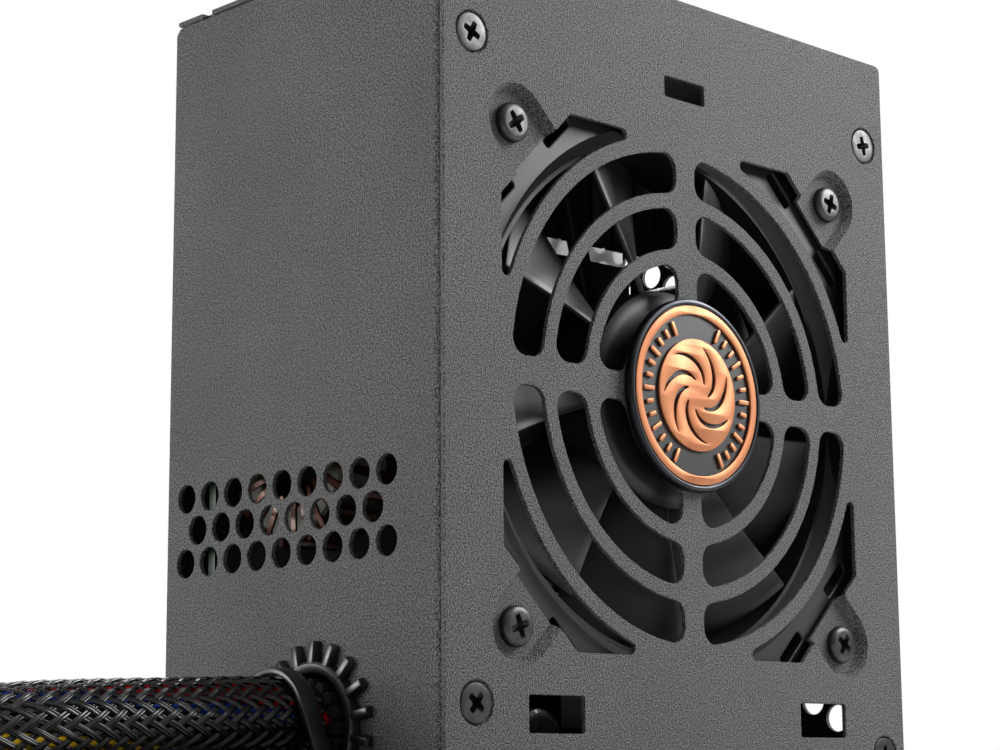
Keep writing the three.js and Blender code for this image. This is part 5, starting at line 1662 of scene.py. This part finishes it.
@dataclass
class Electronics:
    """The board and what stands on it, as far as the grille and the vents let it be seen."""

    front: float = 24.4
    top: float = -13.85

    def board(self) -> None:
        """The board with its mounting holes and rows of solder pads on its back."""
        outline = [(-46, 4.1), (22, 4.1), (22, 70), (46, 70), (46, 120.9), (-46, 120.9)]
        holes = [circle(x, z, 1.65, 16) for x, z in BOARD_SCREWS]
        plate = dressed(placed(flat_plate(outline, holes, 1.6, 0.1), FRONT, (0, self.front, 0)), 0)
        pads = []
        for row in range(9):
            for column in range(7):
                x, z = -38 + column * 8.6, 14 + row * 11.8
                pad = lathe([(0, 0), (0.95, 0), (0.35, 0.9), (0, 1.0)], 10)
                pads.append(dressed(placed(pad, FRONT, (x, 25.95, z)), 1))
        finished("circuit_board_masked", merged([plate, *pads]), [BOARD_LAMINATE, BRIGHT_STEEL], "case",
                 ["circuit_board"], smooth=18)

    def capacitor(self, name: str, node: str, x: float, z: float, radius: float, drop: float) -> None:
        """A can in its sleeve, with the rolled groove, the bare top and the vent cross scored on it."""
        r, t, foot = radius, self.top + drop, self.front - 0.3
        sleeve = lathe([(r * 0.74, t + 0.06), (r - 0.7, t), (r - 0.15, t + 0.3), (r, t + 0.9), (r, t + 2.4),
                        (r - 0.45, t + 2.9), (r - 0.45, t + 3.3), (r, t + 3.8), (r, foot - 0.4),
                        (r - 0.4, foot), (0, foot), (0, t + 2.5), (r * 0.74, t + 2.5)], 40)
        crown = lathe([(0, t + 0.15), (r * 0.74, t + 0.15), (r * 0.74, t + 2.4), (0, t + 2.4)], 40)
        score = [brick((-r * 0.6, -0.12, t), (r * 0.6, 0.12, t + 0.3), 0),
                 brick((-0.12, -r * 0.6, t), (0.12, r * 0.6, t + 0.3), 0)]
        for groove in score:
            crown = carved(crown, groove)
        whole = merged([dressed(sleeve, 0), dressed(crown, 1)])
        finished(name, placed(whole, FRONT, (x, 0, z)), [CAN_SLEEVE, HEATSINK_METAL], "case", [node])

    def heatsink(self, name: str, node: str, low: float, high: float, z: float, lip: float) -> None:
        """A folded plate with its turned-over top, notched into fins."""
        top, foot, half = self.top + 3, self.front - 0.3, 1.25
        sign = 1 if lip > 0 else -1
        stem = brick((low, top, z - half), (high, foot, z + half), 0.25)
        parts = [stem]
        count = int((high - low) / 5.0)
        pitch = (high - low) / count
        for k in range(count):
            x = low + pitch * k
            z_low, z_high = sorted((z + lip, z - sign * 0.2))
            parts.append(brick((x + 0.35, top, z_low), (x + pitch - 0.35, top + 2.5, z_high), 0.25))
        finished(name, merged(parts), [HEATSINK_METAL], "case", [node])

    def transformer(self) -> None:
        """The ferrite core, and the taped winding round its middle limb."""
        top, foot = self.top + 6, self.front - 0.3
        core = [brick((-17, top, 62), (-12, foot, 88), 0.4), brick((8, top, 62), (13, foot, 88), 0.4),
                brick((-12.5, top, 62), (8.5, top + 5, 88), 0.4),
                brick((-12.5, foot - 5, 62), (8.5, foot, 88), 0.4),
                brick((-5, top + 1, 68), (1, foot - 1, 82), 0.4)]
        finished("transformer_core_ferrite", merged(core), [FERRITE], "case", ["transformer_core"])
        low, high = top + 5.3, foot - 5.3
        wraps = []
        for k in range(4):
            y = low + (high - low) / 4 * k
            ring = rounded(-2, 75, 9.6 - 0.25 * (k % 2), 11.4 - 0.25 * (k % 2), 2.5, 5)
            hole = rounded(-2, 75, 3.4, 7.4, 0.4, 2)
            wraps.append(placed(flat_plate(ring, [hole], (high - low) / 4 - 0.1, 0.3), FRONT, (0, y, 0)))
        finished("transformer_winding_taped", merged(wraps), [WINDING_TAPE], "case",
                 ["transformer_winding"], smooth=18)

    def toroid(self) -> None:
        """The output choke: a painted ring core under one layer of thick copper turns."""
        x, y, z = -38.5, self.front - 14.3, 54.0
        section = [(7.7, -4.0), (8.2, -4.4), (11.8, -4.4), (12.3, -4.0), (12.3, 4.0), (11.8, 4.4),
                   (8.2, 4.4), (7.7, 4.0)]
        core = dressed(placed(lathe(section, 48, True), SIDE, (x, y, z)), 0)
        turns, steps = 22, 10
        line = []
        for i in range(turns * steps + 1):
            swing = math.tau * i / steps
            round_ring = math.radians(20 + 320 * i / (turns * steps))
            out = 10.0 + 3.15 * max(-0.8, min(0.8, math.cos(swing) * 1.3)) / 0.8
            along = 4.2 * max(-0.8, min(0.8, math.sin(swing) * 1.3)) / 0.8
            line.append(Vector((x + along, y + out * math.cos(round_ring), z + out * math.sin(round_ring))))
        wire = dressed(tube(line, 0.72, 6, 1), 1)
        finished("output_choke_wound", merged([core, wire]), [CHOKE_CORE, COPPER_WIRE], "case",
                 ["output_choke"])

    def small_parts(self) -> None:
        """The line choke, the filter capacitor and the rectifier."""
        foot = self.front - 0.3
        low = self.top + 14
        bobbin = [brick((4, low, 14), (20, low + 1.4, 31), 0.3),
                  brick((4, foot - 1.4, 14), (20, foot, 31), 0.3)]
        coil = []
        for k in range(int(foot - low - 3.2)):
            ring = lathe([(0, low + 1.3 + k), (6.9, low + 1.3 + k), (7.3, low + 1.8 + k),
                          (6.9, low + 2.3 + k), (0, low + 2.3 + k)], 32)
            coil.append(dressed(placed(ring, FRONT, (12, 0, 22.5)), 1))
        finished("mains_choke_wound", merged([*[dressed(b, 0) for b in bobbin], *coil]),
                 [FERRITE, COPPER_WIRE], "case", ["mains_choke"])
        box = brick((-2, self.top + 18, 48), (17, foot, 57), 0.5)
        finished("filter_capacitor_box", box, [FILTER_CASE], "case", ["filter_capacitor"])
        bridge = brick((-2, self.top + 15, 109), (14, foot, 113), 0.35)
        finished("bridge_rectifier_moulded", bridge, [RECTIFIER_CASE], "case", ["bridge_rectifier"])

    def plain_nodes(self) -> None:
        """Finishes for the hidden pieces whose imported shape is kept."""
        kept = {"rotor_magnet": FERRITE, "fan_shaft": SHAFT_STEEL, "fan_bearing": BEARING_BRONZE,
                "fan_stator": COPPER_WIRE, "insulation_sheet": INSULATION_FILM}
        kept.update({f"board_screw_{k}": BRIGHT_STEEL for k in range(1, 5)})
        for name, finish in kept.items():
            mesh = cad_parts[name].data
            mesh.materials.clear()
            mesh.materials.append(finish.material())
            LOG.info("%s keeps its shape in %s", name, finish.name)

    def build(self) -> None:
        """Makes everything inside the case."""
        self.board()
        self.capacitor("bulk_capacitor_sleeved", "bulk_capacitor", 33, 78, 11, 1.5)
        for index, (x, z) in enumerate(((-14, 12), (-14, 23.5), (-2.5, 12)), 1):
            self.capacitor(f"output_capacitor_{index}_sleeved", f"output_capacitor_{index}", x, z, 5, 12)
        self.heatsink("secondary_heatsink_finned", "secondary_heatsink", -43.5, -4, 35, -9)
        self.heatsink("primary_heatsink_finned", "primary_heatsink", -14, 36, 106, -16)
        self.transformer()
        self.toroid()
        self.small_parts()
        self.plain_nodes()


def main() -> None:
    """Builds every sub-assembly in order and notes the sizes."""
    logging.basicConfig(level=logging.INFO, format="%(name)s %(message)s")
    Studio().build()
    for assembly in (Harness(), CoverShell(), BaseShell(), Fasteners(), Fan(), Badge(), CableExit(),
                     MainsWall(), Electronics()):
        assembly.build()


if __name__ == "__main__":
    main()
